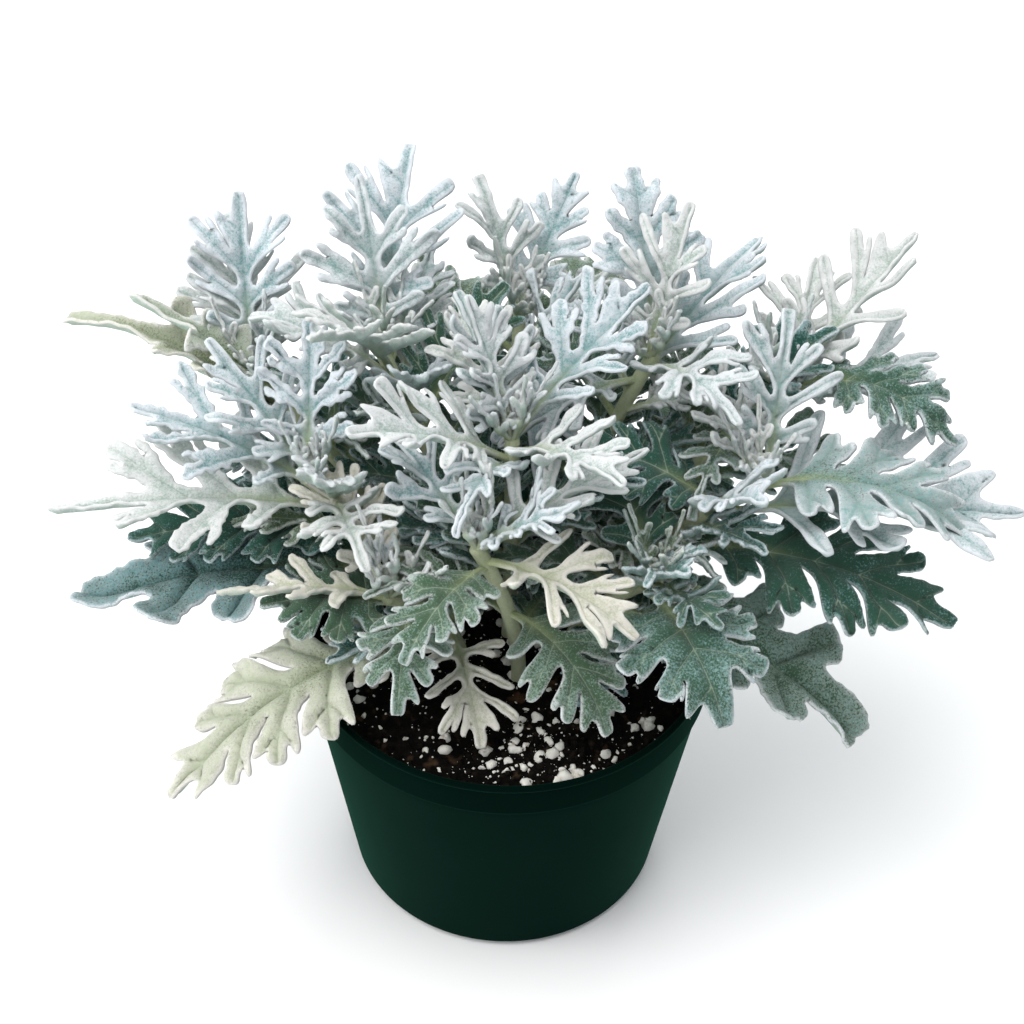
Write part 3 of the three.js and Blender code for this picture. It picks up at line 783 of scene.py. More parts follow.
# Each stem stands upright in the mix at its foot and leans out to its tip.
# A leaf says: kind, up (share of the stem's free height), turn (compass direction, degrees from +X),
# rise (degrees above level at the root), droop (degrees lost along the leaf), length, look.
leafyStems = {
    "front_left": {"foot": (-18, -8), "tip": (-44, -22, 156), "leaves": (
        ("broad", 0.45, 208, 8, 60, 122, "cream"),
        ("lace", 0.35, 284, 14, 60, 54, "ivory"),
        ("fan", 0.75, 190, 26, 40, 60, "deep"),
        ("lobed", 0.85, 268, 22, 80, 56, "sage"),
        ("plain", 0.92, 180, 14, 40, 66, "ivory"),
        ("lace", 1.0, 118, 36, 30, 58, "ivory"),
    )},
    "front": {"foot": (4, -16), "tip": (-12, -20, 180), "leaves": (
        ("lobed", 0.5, 310, 20, 90, 66, "sage"),
        ("lace", 0.9, 326, 20, 60, 66, "ivory"),
        ("lobed", 0.85, 236, 24, 75, 56, "sage"),
        ("lace", 0.96, 130, 34, 20, 58, "frost"),
        ("lace", 1.0, 22, 28, 20, 70, "snow"),
        ("lobed", 0.8, 84, 34, 20, 56, "deep"),
        ("plain", 0.6, 190, 40, 70, 56, "sage"),
    )},
    "front_right": {"foot": (22, -6), "tip": (54, -16, 162), "youngLook": "sage", "leaves": (
        ("fan", 0.9, 292, 26, 80, 74, "teal"),
        ("lobed", 0.96, 112, 34, 30, 66, "deep"),
        ("lobed", 0.8, 190, 30, 60, 54, "deep"),
    )},
    "left": {"foot": (-30, 6), "tip": (-74, 12, 182), "leaves": (
        ("scalloped", 0.4, 186, 14, 50, 122, "dusk"),
        ("broad", 0.6, 176, 16, 44, 96, "deep"),
        ("lace", 0.82, 190, 18, 34, 108, "snow"),
        ("lace", 0.9, 168, 24, 24, 80, "frost"),
        ("lace", 0.96, 146, 34, 16, 66, "frost"),
        ("lace", 1.0, 96, 46, 10, 62, "frost"),
    )},
    "right": {"foot": (31, 8), "tip": (92, 14, 182), "leaves": (
        ("scalloped", 0.25, 332, 12, 66, 112, "haze"),
        ("broad", 0.6, 348, 16, 50, 116, "deep"),
        ("lobed", 0.98, 340, 32, 70, 84, "silver"),
        ("lace", 0.82, 352, 16, 30, 114, "frost"),
        ("lobed", 0.85, 170, 30, 50, 60, "deep"),
        ("lace", 1.0, 130, 40, 40, 56, "snow"),
    )},
    "centre": {"foot": (0, 6), "tip": (0, 18, 198), "leaves": (
        ("lace", 1.0, 42, 38, 20, 74, "frost"),
        ("lace", 0.97, 100, 48, 10, 62, "snow"),
        ("lace", 0.9, 184, 26, 30, 76, "snow"),
        ("lace", 0.94, 338, 32, 40, 66, "snow"),
        ("plain", 0.85, 240, 50, 90, 64, "frost"),
    )},
    "back_left": {"foot": (-16, 24), "tip": (-50, 64, 200), "leaves": (
        ("lace", 1.0, 82, 50, 14, 78, "frost"),
        ("lace", 0.96, 116, 48, 20, 70, "frost"),
        ("lace", 0.9, 190, 34, 40, 62, "snow"),
        ("lace", 0.93, 262, 36, 50, 78, "snow"),
        ("plain", 0.6, 118, 20, 50, 76, "sage"),
    )},
    "back_right": {"foot": (17, 25), "tip": (52, 62, 202), "leaves": (
        ("lobed", 1.0, 100, 52, 10, 70, "frost"),
        ("lace", 0.96, 62, 46, 20, 64, "snow"),
        ("lace", 0.92, 210, 36, 50, 62, "snow"),
        ("lace", 0.88, 40, 46, 30, 84, "frost"),
        ("lace", 0.96, 304, 36, 50, 64, "snow"),
        ("plain", 0.6, 70, 20, 50, 76, "sage"),
    )},
    "far_left": {"foot": (-34, 24), "tip": (-98, 62, 186), "leaves": (
        ("strap", 0.75, 154, 30, 40, 116, "olive"),
        ("strap", 0.86, 172, 30, 46, 78, "olive"),
        ("lace", 0.94, 132, 42, 20, 62, "snow"),
        ("lace", 0.97, 100, 46, 20, 68, "snow"),
        ("lace", 1.0, 76, 50, 12, 70, "frost"),
        ("plain", 0.8, 300, 40, 50, 50, "sage"),
        ("lobed", 0.5, 108, 10, 60, 76, "sage"),
    )},
    "far_right": {"foot": (36, 27), "tip": (104, 58, 190), "leaves": (
        ("lace", 0.98, 40, 42, 24, 78, "snow"),
        ("broad", 0.98, 338, 44, 100, 78, "teal"),
        ("lace", 0.92, 12, 32, 26, 72, "snow"),
        ("lace", 1.0, 90, 44, 20, 58, "snow"),
        ("lobed", 0.55, 66, 14, 60, 84, "sage"),
        ("plain", 0.85, 285, 36, 60, 58, "sage"),
    )},
    "back": {"foot": (0, 38), "tip": (2, 104, 186), "leaves": (
        ("lobed", 1.0, 62, 48, 14, 58, "frost"),
        ("lace", 0.97, 122, 56, 20, 60, "snow"),
        ("broad", 0.6, 108, 24, 56, 110, "sage"),
        ("broad", 0.75, 70, 20, 56, 100, "sage"),
        ("lace", 0.92, 275, 36, 40, 76, "frost"),
        ("plain", 0.88, 150, 36, 40, 70, "sage"),
    )},
}
# turn and rise that a solid leaf may have been bent by to clear its neighbours, smallest first
bends = [(0.0, 0.0)]
for ring in range(1, 9):
    for step in range(8):
        way = (step + ring / 2) * math.pi / 4
        bends.append((8.4 * ring * math.cos(way), 6.0 * ring * math.sin(way)))


def leafPlan(kind, turn, rise, droop, length, seed):
    sizes = leafKinds[kind]
    stalk = sizes["petiole"] * length
    blade = length - stalk
    return {
        **sizes,
        "seed": seed,
        "turn": turn,
        "rise": rise,
        "droop": droop,
        "length": length,
        "stalk": stalk,
        "blade": blade,
        "half": blade * sizes["width"] / 2,
        "swing": 16 * (seeded(seed + 1) - 0.5),
        "roll": 16 * (seeded(seed + 2) - 0.5),
        "twist": 30 * (seeded(seed + 3) - 0.5),
        "phase": 2 * math.pi * seeded(seed + 4),
        "scale": 1,
    }


# places on a blade, in a lobe and in the blade's end, as shares of their lengths
outlinePlan = {
    "firstLobe": 0.05,
    "root": 0.36,  # where in its room a lobe begins
    "rootVary": 0.03,
    "foot": 0.6,  # how far out on the wing it begins
    "vein": (0.3, 0.95),  # where its vein turns and where it ends
    "toothFeet": (0.4, 0.45),  # where the veins of its teeth begin
    "toothVein": (0.93, 0.82),  # where they end, along and aside
    "back": 0.12,  # where the lobe's far side meets the wing
    "tipTooth": (0.3, 0.66),  # foot and tip of the last teeth
    "tipVein": (0.62, 0.82),
    "tipNotch": (0.46, 1.2),
}


def halfOutline(leaf, seed, fine):
    # One side of a leaf as (u, v), u along the rib from the blade's base and v out from it,
    # with its veins and its lobes. From fine 0 to 1 the lobes' ends grow wider, their teeth blunter
    # and their forks wider.
    length, half, reaches = leaf["blade"], leaf["half"], leaf["reach"]
    finger, notch, wing = leaf["finger"] * half, leaf["notch"] * half, leaf["wing"] * half
    plump = min(finger * bladePlan["plump"], max(finger, 3.0)) - finger
    finger += fine * plump
    blunt = fine * bladePlan["blunt"] * finger
    start = outlinePlan["firstLobe"] * length
    pitch = ((1 - leaf["tip"]) * length - start) / leaf["pairs"]
    step = (leaf["first"] - leaf["last"]) / (leaf["pairs"] - 1)
    side, veins, lobes = [], [], []

    def tooth(foot, tip, veinEnd):
        # its two corners, the one towards the stalk first
        run = np.subtract(tip, foot)
        aside = leftOf(run) / np.linalg.norm(run) * blunt
        veins.append(([foot, veinEnd], veinWeights["tooth"]))
        return [tuple(tip + aside), tuple(tip - aside)]

    for i in range(leaf["pairs"]):
        draw = draws(seed + 10 * i, range(7))
        angle = (leaf["first"] - step * i + leaf["loose"] * draw[1]) * degree
        reach = half * reaches[i] * (1 + leaf["vary"] * draw[2]) - wing
        begin = start + pitch * (i + outlinePlan["root"] + outlinePlan["rootVary"] * draw[4])

        def room(a):
            return pitch * math.sin(min(angle, math.pi / 2)) + a * math.sin(step * degree)

        def at(a, b):
            u = begin + a * math.cos(angle) + b * math.sin(angle)
            return u, outlinePlan["foot"] * wing + a * math.sin(angle) - b * math.cos(angle)

        spread = leaf["spread"] * room(0.8 * reach) * (1 + 0.06 * draw[3])
        root = leaf["root"] * reach
        grows = [seeded(seed + 10 * i + n) < leaf["forked"] for n in (7, 8)]
        near = grows[0] and not (leaf["bareEnds"] and i == 0)
        far = grows[1] and not (leaf["bareEnds"] and i == leaf["pairs"] - 1)
        onRib = (max(begin - 0.3 * pitch, 0.5), 0.0)
        vein = [onRib] + [at(share * reach, 0) for share in outlinePlan["vein"]]
        veins.append((vein, veinWeights["lobe"]))
        side.append(at(root, -leaf["neck"] * room(root)))

        def fork(foot, out, way):
            # a side tooth's corners, and the notch between it and the lobe's end
            tip = at(out * reach, way * (spread + 0.3 * blunt))
            along, aside = outlinePlan["toothVein"]
            veinEnd = at(along * out * reach, way * aside * spread)
            return tooth(at(foot * reach, 0), tip, veinEnd), at((out - leaf["dip"]) * reach, way * notch)

        if near:
            corners, dip = fork(outlinePlan["toothFeet"][0], leaf["near"], -1)
            side += [*corners, dip]
        lean = bladePlan["forkLean"] * blunt * (near - far)
        side += [at(reach, lean - finger), at(reach, lean + finger)]
        if far:
            corners, dip = fork(outlinePlan["toothFeet"][1], leaf["far"], 1)
            side += [dip, *corners]
        side.append(at(root + outlinePlan["back"] * reach, leaf["neck"] * room(root)))
        lobes.append((at(0, 0), (math.cos(angle), math.sin(angle)), reach, room(reach), draw[5], draw[6]))
    end = leaf["tip"] * length
    body = length - end
    if leaf["tipSpread"] > 0 and seeded(seed + 49) < leaf["forked"]:
        out = leaf["tipSpread"] * half
        foot, tip = (body + share * end for share in outlinePlan["tipTooth"])
        (veinAlong, veinOut), (dipAlong, dipOut) = outlinePlan["tipVein"], outlinePlan["tipNotch"]
        side += tooth((foot, 0), (tip, out), (body + veinAlong * end, veinOut * out))
        side.append((body + dipAlong * end, dipOut * finger))
    side.append((length, finger))
    return side, veins, lobes


def leafOutline(leaf, fine=0):
    # the whole outline, anticlockwise from the stalk's root, and all its veins and lobes
    right, rightVeins, rightLobes = halfOutline(leaf, leaf["seed"] + 500, fine)
    left, leftVeins, lobes = halfOutline(leaf, leaf["seed"], fine)
    width = bladePlan["petioleHalfWidth"] * leaf["scale"]
    outline = [(-leaf["stalk"], -width), (0, -width)]
    outline += [(u, -v) for u, v in right]
    outline += [(1.01 * leaf["blade"], 0)]
    outline += [(u, v) for u, v in reversed(left)]
    outline += [(0, width), (-leaf["stalk"], width)]
    veins = [([(-leaf["stalk"], 0), (0.97 * leaf["blade"], 0)], veinWeights["rib"])]
    veins += [([(u, -v) for u, v in line], weight) for line, weight in rightVeins] + leftVeins
    lobes += [((x, -y), (dx, -dy), *rest) for (x, y), (dx, dy), *rest in rightLobes]
    end = leaf["tip"] * leaf["blade"]
    lobes.append(((leaf["blade"] - end, 0), (1, 0), end, end, *draws(leaf["seed"], (7, 8))))
    return np.array(outline), veins, lobes


def ribFrames(root, leaf, steps):
    # places, sideways and upward directions at even steps along the rib
    def heading(x):
        rise = (leaf["rise"] - leaf["droop"] * x ** 1.5) * degree
        turn = (leaf["turn"] + leaf["swing"] * x) * degree
        flat = np.cos(rise)
        return np.stack([flat * np.cos(turn), flat * np.sin(turn), np.sin(rise)], 1), turn

    x = np.arange(steps + 1) / steps
    along, turn = heading(x)
    level = np.stack([-np.sin(turn), np.cos(turn), 0 * turn], 1)
    lean = ((leaf["roll"] + leaf["twist"] * x) * degree)[:, None]
    across = level * np.cos(lean) + np.cross(along, level) * np.sin(lean)
    moves = heading(x[:-1] + 0.5 / steps)[0] * leaf["length"] / steps
    place = np.vstack([root, root + np.cumsum(moves, axis=0)])
    return place, across, np.cross(along, across)


def bent(frames, leaf, points, soften=0.0):
    # where flat leaf points lie on the bent leaf, and which way its upper face looks there
    u, v = points[:, 0], points[:, 1]
    steps = len(frames[0]) - 1
    s = np.clip((leaf["stalk"] + u) / leaf["length"], 0, 1) * steps
    i = np.minimum(s.astype(int), steps - 1)
    f = (s - i)[:, None]
    place, across, up = (line[i] * (1 - f) + line[i + 1] * f for line in frames)
    side = np.where(v < 0, -1.0, 1.0)
    reach = np.sqrt(v * v + soften * soften) - soften
    cup = leaf["cup"] * degree
    bend = leaf["curl"] * degree / leaf["half"]
    out = (np.sin(cup + bend * abs(v)) - np.sin(cup)) / bend
    lift = (np.cos(cup) - np.cos(cup + bend * reach)) / bend
    phase = leaf["phase"] + np.where(v < 0, 1.3, 0)
    lift = lift + leaf["wave"] * reach / leaf["half"] * np.sin(4 * math.pi * u / leaf["blade"] + phase)
    slope = (cup + bend * abs(v))[:, None]
    tilt = (side * abs(v) / (abs(v) + soften + 1e-9))[:, None]
    face = up * np.cos(slope) - across * tilt * np.sin(slope)
    return place + across * (side * out)[:, None] + up * lift[:, None], face


def stemPoint(plan, t):
    x, y = plan["foot"]
    low = soilLevel(math.hypot(x, y))
    foot = np.array([x, y, low])
    over = np.array([x, y, low + stemPlan["bend"] * (plan["tip"][2] - low)])
    return (1 - t) ** 2 * foot + 2 * t * (1 - t) * over + t * t * np.array(plan["tip"])


# how a bend is matched with the solid leaf
matchPlan = {
    "from": 0.2,  # share of the blade beyond which corners are compared
    "gap": 0.05,
    "good": 0.8,  # share of corners found that ends the search
    "poor": 0.3,
}


def settledLeaf(root, row, seed, corners):
    # the bend that the solid leaf took is the one whose lobe ends are corners of the solid
    kind, _, turn, rise, droop, length, _ = row
    best = None
    for turnBy, riseBy in bends:
        leaf = leafPlan(kind, turn + turnBy, rise + riseBy, droop, length, seed)
        outline = leafOutline(leaf)[0]
        tips = outline[outline[:, 0] > matchPlan["from"] * leaf["blade"]]
        points, face = bent(ribFrames(root, leaf, bladePlan["frameSteps"]), leaf, tips)
        upper = points + face * bladePlan["thick"] / 2
        fit = np.mean([corners.find(p)[2] < matchPlan["gap"] for p in upper])
        if best is None or fit > best[0]:
            best = (fit, leaf)
        if fit > matchPlan["good"]:
            break
    if best[0] < matchPlan["poor"]:
        print("leaf", row, "fits its solid poorly", round(best[0], 2))
    return best[1]


def treeOf(points):
    tree = kdtree.KDTree(len(points))
    for i, p in enumerate(points):
        tree.insert(p, i)
    tree.balance()
    return tree


def alongLines(lines, step):
    # points at about even steps on straight lines
    points = []
    for start, end in lines:
        count = max(int(math.dist(start, end) / step), 1)
        share = np.arange(count + 1)[:, None] / count
        points.append(np.asarray(start) * (1 - share) + np.asarray(end) * share)
    return np.vstack(points)


def gapsTo(points, lines):
    # distance from each flat point to the nearest line
    tree = treeOf([(x, y, 0) for x, y in alongLines(lines, 0.2)])
    return np.array([tree.find((x, y, 0))[2] for x, y in points])


def loopLines(loop):
    return list(zip(loop, np.roll(loop, -1, 0)))


def inside(points, loop):
    after = np.roll(loop, -1, 0)
    (ax, ay), (bx, by) = loop.T, after.T
    x, y = points[:, :1], points[:, 1:]
    crosses = (ay > y) != (by > y)
    at = ax + (y - ay) * (bx - ax) / np.where(by == ay, 1e-12, by - ay)
    return (crosses & (x < at)).sum(1) % 2 == 1


def softened(loop, rounds=3, share=0.22):
    # corners are cut again and again until the outline is round
    for _ in range(rounds):
        after = np.roll(loop, -1, 0)
        loop = np.stack([(1 - share) * loop + share * after, share * loop + (1 - share) * after], 1)
        loop = loop.reshape(-1, 2)
    return loop


def evenly(loop, step):
    closed = np.vstack([loop, loop[:1]])
    travel = np.concatenate([[0], np.cumsum(np.linalg.norm(np.diff(closed, axis=0), axis=1))])
    count = max(int(travel[-1] / step), 24)
    spots = np.arange(count) * travel[-1] / count
    return np.stack([np.interp(spots, travel, closed[:, k]) for k in (0, 1)], 1)


def rippled(loop, leaf, height):
    # small uneven waves along the blade's margin
    forward = np.roll(loop, -1, 0) - np.roll(loop, 1, 0)
    lengths = np.linalg.norm(forward, axis=1)
    travel = 2 * math.pi * np.cumsum(lengths) / 2
    phases = phasesFrom(leaf["seed"] + 60, 3)
    wave = sum(np.sin(travel / run + phase) for run, phase in zip(bladePlan["rippleRuns"], phases))
    wave = wave * height * leaf["ripple"] * min(leaf["half"] / 28, 1) * np.clip(loop[:, 0] / 4, 0, 1)
    aside = leftOf(forward) / np.maximum(lengths, 1e-9)[:, None]
    return loop + aside * wave[:, None]


def crossesItself(loop):
    start, end = loop, np.roll(loop, -1, 0)

    def sides(point):
        # which side of each stretch of the loop each point lies on
        run, away = (end - start)[:, None], point[None] - start[:, None]
        return run[..., 0] * away[..., 1] - run[..., 1] * away[..., 0]

    apart = sides(start) * sides(end) < 0
    return bool((apart & apart.T).any())


def veinLines(veins, least=0.0, most=1.0):
    # straight lines of the veins between two weights
    return [pair for line, weight in veins if least <= weight <= most for pair in zip(line, line[1:])]


def evenField(loop, step):
    # rows of points inside the loop, each row half a step off the last
    low, high = loop.min(0), loop.max(0)
    across = np.arange(low[0], high[0], step)
    rows = np.arange(low[1], high[1], step * math.sqrt(0.75))
    field = [np.stack([across + (k % 2) * step / 2, 0 * across + v], 1) for k, v in enumerate(rows)]
    field = np.concatenate(field)
    return field[inside(field, loop)]


def flatPoints(loop, veins, steps):
    # points that fill the outline: a ring inside the edge, rows along the veins, and an even field
    edgeStep, rowStep, fieldStep = steps
    forward = np.roll(loop, -1, 0) - np.roll(loop, 1, 0)
    forward /= np.linalg.norm(forward, axis=1)[:, None]
    depth = 0.4 * edgeStep
    ring = loop + leftOf(forward) * depth
    rows = [alongLines(veinLines(veins), rowStep)]
    beside = 0.65  # how far rows beside the main veins lie from them
    mainVeins = veinLines(veins, veinWeights["lobe"])
    for start, end in mainVeins:
        run = np.subtract(end, start)
        aside = leftOf(run) / np.linalg.norm(run) * beside
        rows += [alongLines([(start + aside * way, end + aside * way)], rowStep) for way in (-1, 1)]
    rows = thinned(np.vstack(rows), 0.5)
    field = evenField(loop, fieldStep)
    field = field[gapsTo(field, mainVeins) > beside + 0.6 * fieldStep]
    edges = loopLines(loop)
    chosen = []
    for points, gap in ((ring, 0.85 * depth), (rows, 2 * depth), (field, depth + 0.6 * fieldStep)):
        points = points[inside(points, loop)]
        chosen.append(points[gapsTo(points, edges) > gap])
    return np.vstack(chosen)


def thinned(points, gap):
    # leaves out points that share a square of the given size
    _, keep = np.unique(np.round(points / gap).astype(int), axis=0, return_index=True)
    return points[np.sort(keep)]


def vertexNormals(points, faces):
    a, b, c = (points[faces[:, k]] for k in range(3))
    flat = np.cross(b - a, c - a)
    normals = np.zeros_like(points)
    for k in range(3):
        np.add.at(normals, faces[:, k], flat)
    return normals / np.maximum(np.linalg.norm(normals, axis=1), 1e-12)[:, None]


def lobeHeights(leaf, flat, lobes):
    # each lobe rises or falls towards its end and leans to one side
    total = np.zeros(len(flat))
    for begin, way, reach, room, lift, twist in lobes:
        away = flat - np.array(begin)
        a = np.clip(away @ np.array(way) / reach, 0, 1.1)
        b = away @ leftOf(np.array(way))
        share = a * a * np.exp(-(b / (0.6 * room)) ** 4)
        total += share * (bladePlan["lobeLift"] * leaf["length"] * lift + bladePlan["lobeTwist"] * twist * b)
    return total


def fineOutline(leaf, edgeStep):
    # rounded, evenly spaced, and rippled as far as it can be without crossing itself
    for fine, ripple in outlineTries:
        outline, veins, lobes = leafOutline(leaf, fine)
        outline[:, 1] *= leaf["broader"]
        loop = evenly(softened(outline), edgeStep * max(leaf["scale"], 0.7))
        loop = rippled(loop, leaf, ripple * bladePlan["ripple"])
        if not crossesItself(loop):
            break
    return loop, veins, lobes


def filledOutline(loop, veins, steps):
    # flat points and triangles inside the outline, and how far each point is from it
    points = np.vstack([loop, flatPoints(loop, veins, steps)])
    ring = [(i, (i + 1) % len(loop)) for i in range(len(loop))]
    flat, _, faces, _, _, _ = delaunay_2d_cdt([Vector(p) for p in points], ring, [], 1, 1e-5)
    flat, faces = np.array(flat), np.array(faces)
    edge = gapsTo(flat, loopLines(loop))
    edge[edge < bladePlan["onEdge"]] = 0
    # a face that lies between edge points alone gets one in its middle, and so a thickness
    bare = (edge[faces] == 0).all(1)
    middles = flat[faces[bare]].mean(1)
    number = len(flat) + np.arange(len(middles))
    a, b, c = faces[bare].T
    fans = [np.stack([first, second, number], 1) for first, second in ((a, b), (b, c), (c, a))]
    edge = np.concatenate([edge, np.maximum(gapsTo(middles, loopLines(loop)), 0.2)])
    return np.vstack([flat, middles]), np.vstack([faces[~bare], *fans]), edge


def bladeFields(leaf, flat, edge, veins):
    # by name, what the form and the felt depend on at each flat point; thin veins count as further off
    vein, groove = np.full(len(flat), 99.0), np.zeros(len(flat))
    for weight in veinWeights.values():
        lines = veinLines(veins, weight, weight)
        if lines:
            gap = gapsTo(flat, lines)
            vein = np.minimum(vein, gap / weight)
            groove = np.maximum(groove, weight ** 0.5 * np.exp(-(gap / bladePlan["grooveWidth"]) ** 2))
    u, v = flat.T
    return {
        "u": u,
        "v": v,
        "edge": edge,
        "vein": vein,
        "groove": groove,
        "onBlade": np.clip(u / (bladePlan["bladeStart"] * leaf["blade"]), 0, 1),
        "clear": np.clip(edge / bladePlan["clearWidth"], 0, 1),
    }


def relief(leaf, fields, lobed):
    # heights: felt between sunken veins, the rim, the lobes, the frilled margin and gentle waves
    u, v, edge, vein, groove, onBlade, clear = fields.values()
    phases = phasesFrom(leaf["seed"] + 20, 4)
    wave = {name: np.sin(u / along + v / out + phases[k]) for name, (k, along, out) in bladeWaves.items()}
    height = leaf["puff"] * (1 - np.exp(-(vein / bladePlan["puffWidth"]) ** 2)) * clear ** 0.7
    height = (height - leaf["groove"] * groove * clear) * onBlade
    height += bladePlan["rimLift"] * np.exp(-(edge / bladePlan["rimWidth"] - 1) ** 2) * onBlade
    height += lobed
    frill = leaf["frill"] * (wave["frillAlong"] + wave["frillOut"]) + leaf["turnUp"]
    frill += bladePlan["ripple"] * wave["crimp"]
    height += frill * np.exp(-edge / leaf["turnRoom"]) * onBlade
    sway = wave["swayAlong"] * wave["swayOut"] + 0.6 * wave["smallSway"] * wave["crossSway"]
    return height + bladePlan["sway"] * sway * np.clip(abs(v) / leaf["half"], 0, 1) ** 0.8


def halfThicknesses(leaf, fields):
    # how far the upper face lies above the middle, and the lower one with its keel below it
    u, v, edge, _, groove, onBlade, clear = fields.values()
    shoulder = np.clip((u + bladePlan["shoulder"]) / (2.5 * bladePlan["shoulder"]), 0, 1)

    def along(stalk, blade):
        return leaf["scale"] * (stalk + (blade - stalk) * shoulder)

    radius = along(bladePlan["petioleHalfWidth"], bladePlan["edgeRadius"])
    profile = np.sqrt(1 - (1 - np.clip(edge / radius, 0, 1)) ** 2)
    half = 0.5 * along(bladePlan["petioleThick"], bladePlan["thick"] * bladePlan["felt"]) * profile
    keel = bladePlan["keel"] * np.exp(-(v / 1.0) ** 2) * np.clip(1 - u / leaf["blade"], 0, 1)
    return half, half + leaf["scale"] * onBlade * (keel * clear + 0.35 * groove * clear)


def feltValues(leaf, look, fields):
    # what the felt's material reads: first for the upper face, then for the lower one inside the outline
    u, v, edge, vein = (fields[name] for name in ("u", "v", "edge", "vein"))
    stalk = np.clip(1 - (u + 0.2 * leaf["stalk"]) / (0.45 * leaf["blade"]), 0, 1) * np.exp(-(v / 2.4) ** 2)
    stalk = np.maximum(stalk, np.clip(-u / 4, 0, 1))
    green, warm = looks[look]
    green = green + 0.12 * (seeded(leaf["seed"] + 30) - 0.5)
    bare = np.exp(-(v / (0.3 * leaf["half"])) ** 2) * np.clip(1 - u / leaf["blade"], 0, 1)
    green = np.clip(green + 0.25 * bare, 0, 1)
    warm = np.clip(warm + 0.3 * (seeded(leaf["seed"] + 31) - 0.4), 0, 1)

    def both(above, change=0.0):
        return np.concatenate([above, above[edge > 0] + change])

    return {
        "green": both(green),
        "warm": both(np.full(len(u), warm)),
        "edgeGap": both(edge),
        "veinGap": both(vein, 1.5),
        "upper": both(np.where(edge > 0, 1.0, 0.6), -1.0),
        "stalk": both(stalk),
    }


def fineLeaf(root, leaf, look, steps):
    # a closed leaf with rounded edges, sunken veins and felt swelling between them
    loop, veins, lobes = fineOutline(leaf, steps[0])
    flat, faces, edge = filledOutline(loop, veins, steps)
    fields = bladeFields(leaf, flat, edge, veins)
    height = leaf["scale"] * relief(leaf, fields, lobeHeights(leaf, flat, lobes))
    middle, face = bent(ribFrames(root, leaf, bladePlan["fineSteps"]), leaf, flat, bladePlan["soften"])
    middle = middle + face * height[:, None]
    normal = vertexNormals(middle, faces)
    above, below = (normal * half[:, None] for half in halfThicknesses(leaf, fields))
    # the two faces share the outline's own points
    inner = edge > 0
    under = np.arange(len(flat))
    under[inner] = len(flat) + np.arange(inner.sum())
    points = np.vstack([middle + above, (middle - below)[inner]])
    return points, np.vstack([faces, under[faces[:, ::-1]]]), feltValues(leaf, look, fields)


def fineStem(plan):
    # a tube along the stem, closed at both ends, a little thicker where leaves join
    rings, sides = stemPlan["rings"], stemPlan["sides"]
    line = [stemPoint(plan, k / (rings - 1)) for k in range(rings)]
    line = np.array([line[0] - (0, 0, stemPlan["buried"])] + line)
    joints = [row[1] for row in plan["leaves"]]
    points, faces = [], []
    side = np.array([1.0, 0.0, 0.0])
    for k, place in enumerate(line):
        ahead = line[min(k + 1, len(line) - 1)] - line[max(k - 1, 0)]
        ahead = ahead / np.linalg.norm(ahead)
        side = side - ahead * (side @ ahead)
        side /= np.linalg.norm(side)
        other = np.cross(ahead, side)
        t = (k - 1) / (rings - 1)
        swell = sum(math.exp(-((t - joint) / stemPlan["jointLength"]) ** 2) for joint in joints)
        radius = stemPlan["radius"] * (1 - stemPlan["taper"] * max(t, 0))
        radius *= 1 + stemPlan["jointSwell"] * min(swell, 1)
        for i in range(sides):
            angle = 2 * math.pi * i / sides
            ridge = 1 + stemPlan["ridgeHeight"] * math.cos(stemPlan["ridges"] * angle + 2 * t)
            points.append(place + radius * ridge * (math.cos(angle) * side + math.sin(angle) * other))
    for k in range(len(line) - 1):
        for i in range(sides):
            a, b = k * sides + i, k * sides + (i + 1) % sides
            faces += [(a, b, b + sides), (a, b + sides, a + sides)]
    count = len(points)
    last = count - sides
    points += [line[0], line[-1] + (line[-1] - line[-2]) * 0.3]
    for i in range(sides):
        j = (i + 1) % sides
        faces += [(j, i, count), (last + i, last + j, count + 1)]
    values = {name: value * np.ones(len(points)) for name, value in stemPlan["felt"].items()}
    return np.array(points), np.array(faces), values


# where the random draws of each group of leaves start
seedStarts = {"grown": 1000, "filling": 50000, "young": 90000}


def leafSeed(group, stem, index):
    return seedStarts[group] + 1000 * stem + 40 * index


# more leaves of the same clump, where the grown ones leave room for them
fillPlan = {
    "perStem": 27,
    "up": (0.3, 1.0),
    "rise": (0, 46),  # lowest leaf, highest leaf
    "droop": (60, 20),
    "length": (38, 62),
    "spread": 0.5,  # how much the lengths differ
    "free": 9,  # length of stalk that may touch its neighbours
    "turns": 15,  # directions that are tried
    "rises": (0, 12, -12, 24),
    "cell": 1.2,  # size of the cells of space
    "mostCrowded": 0.04,  # share of a leaf's points in cells that are taken
    "takenWeight": 4,  # how much more such cells count than those near others
    "inside": 1,  # how far inside the clump's outline a leaf stays
    "testSteps": (1.6, 1.8),  # spacing of these points on the edge and inside
    "lobedBelow": 0.6,  # share of the height below which leaves are lobed
    "whiteAbove": 0.7,  # and above which they are white
    "overMix": 113,  # how low a leaf may hang inside the rim and beyond it
    "overRim": 120,
    "rim": 70,
}
# the foot of the front stem stays in sight between the leaves
sightPlan = {
    "rise": (0.69, 0.72),  # y and z of the camera's upward direction
    "place": (-6, 77),
    "size": (19, 15),  # half width and half height
    "front": -16,
}
youngPlan = {
    "count": 7,
    "up": 0.985,
    "turn": (137.5, 60),  # from one to the next, and how much it may differ
    "length": (18, 40),
    "rise": (48, 78),
    "droop": (-24, 16),
    "scale": 0.85,  # of the thickness and stalk of a grown leaf
}


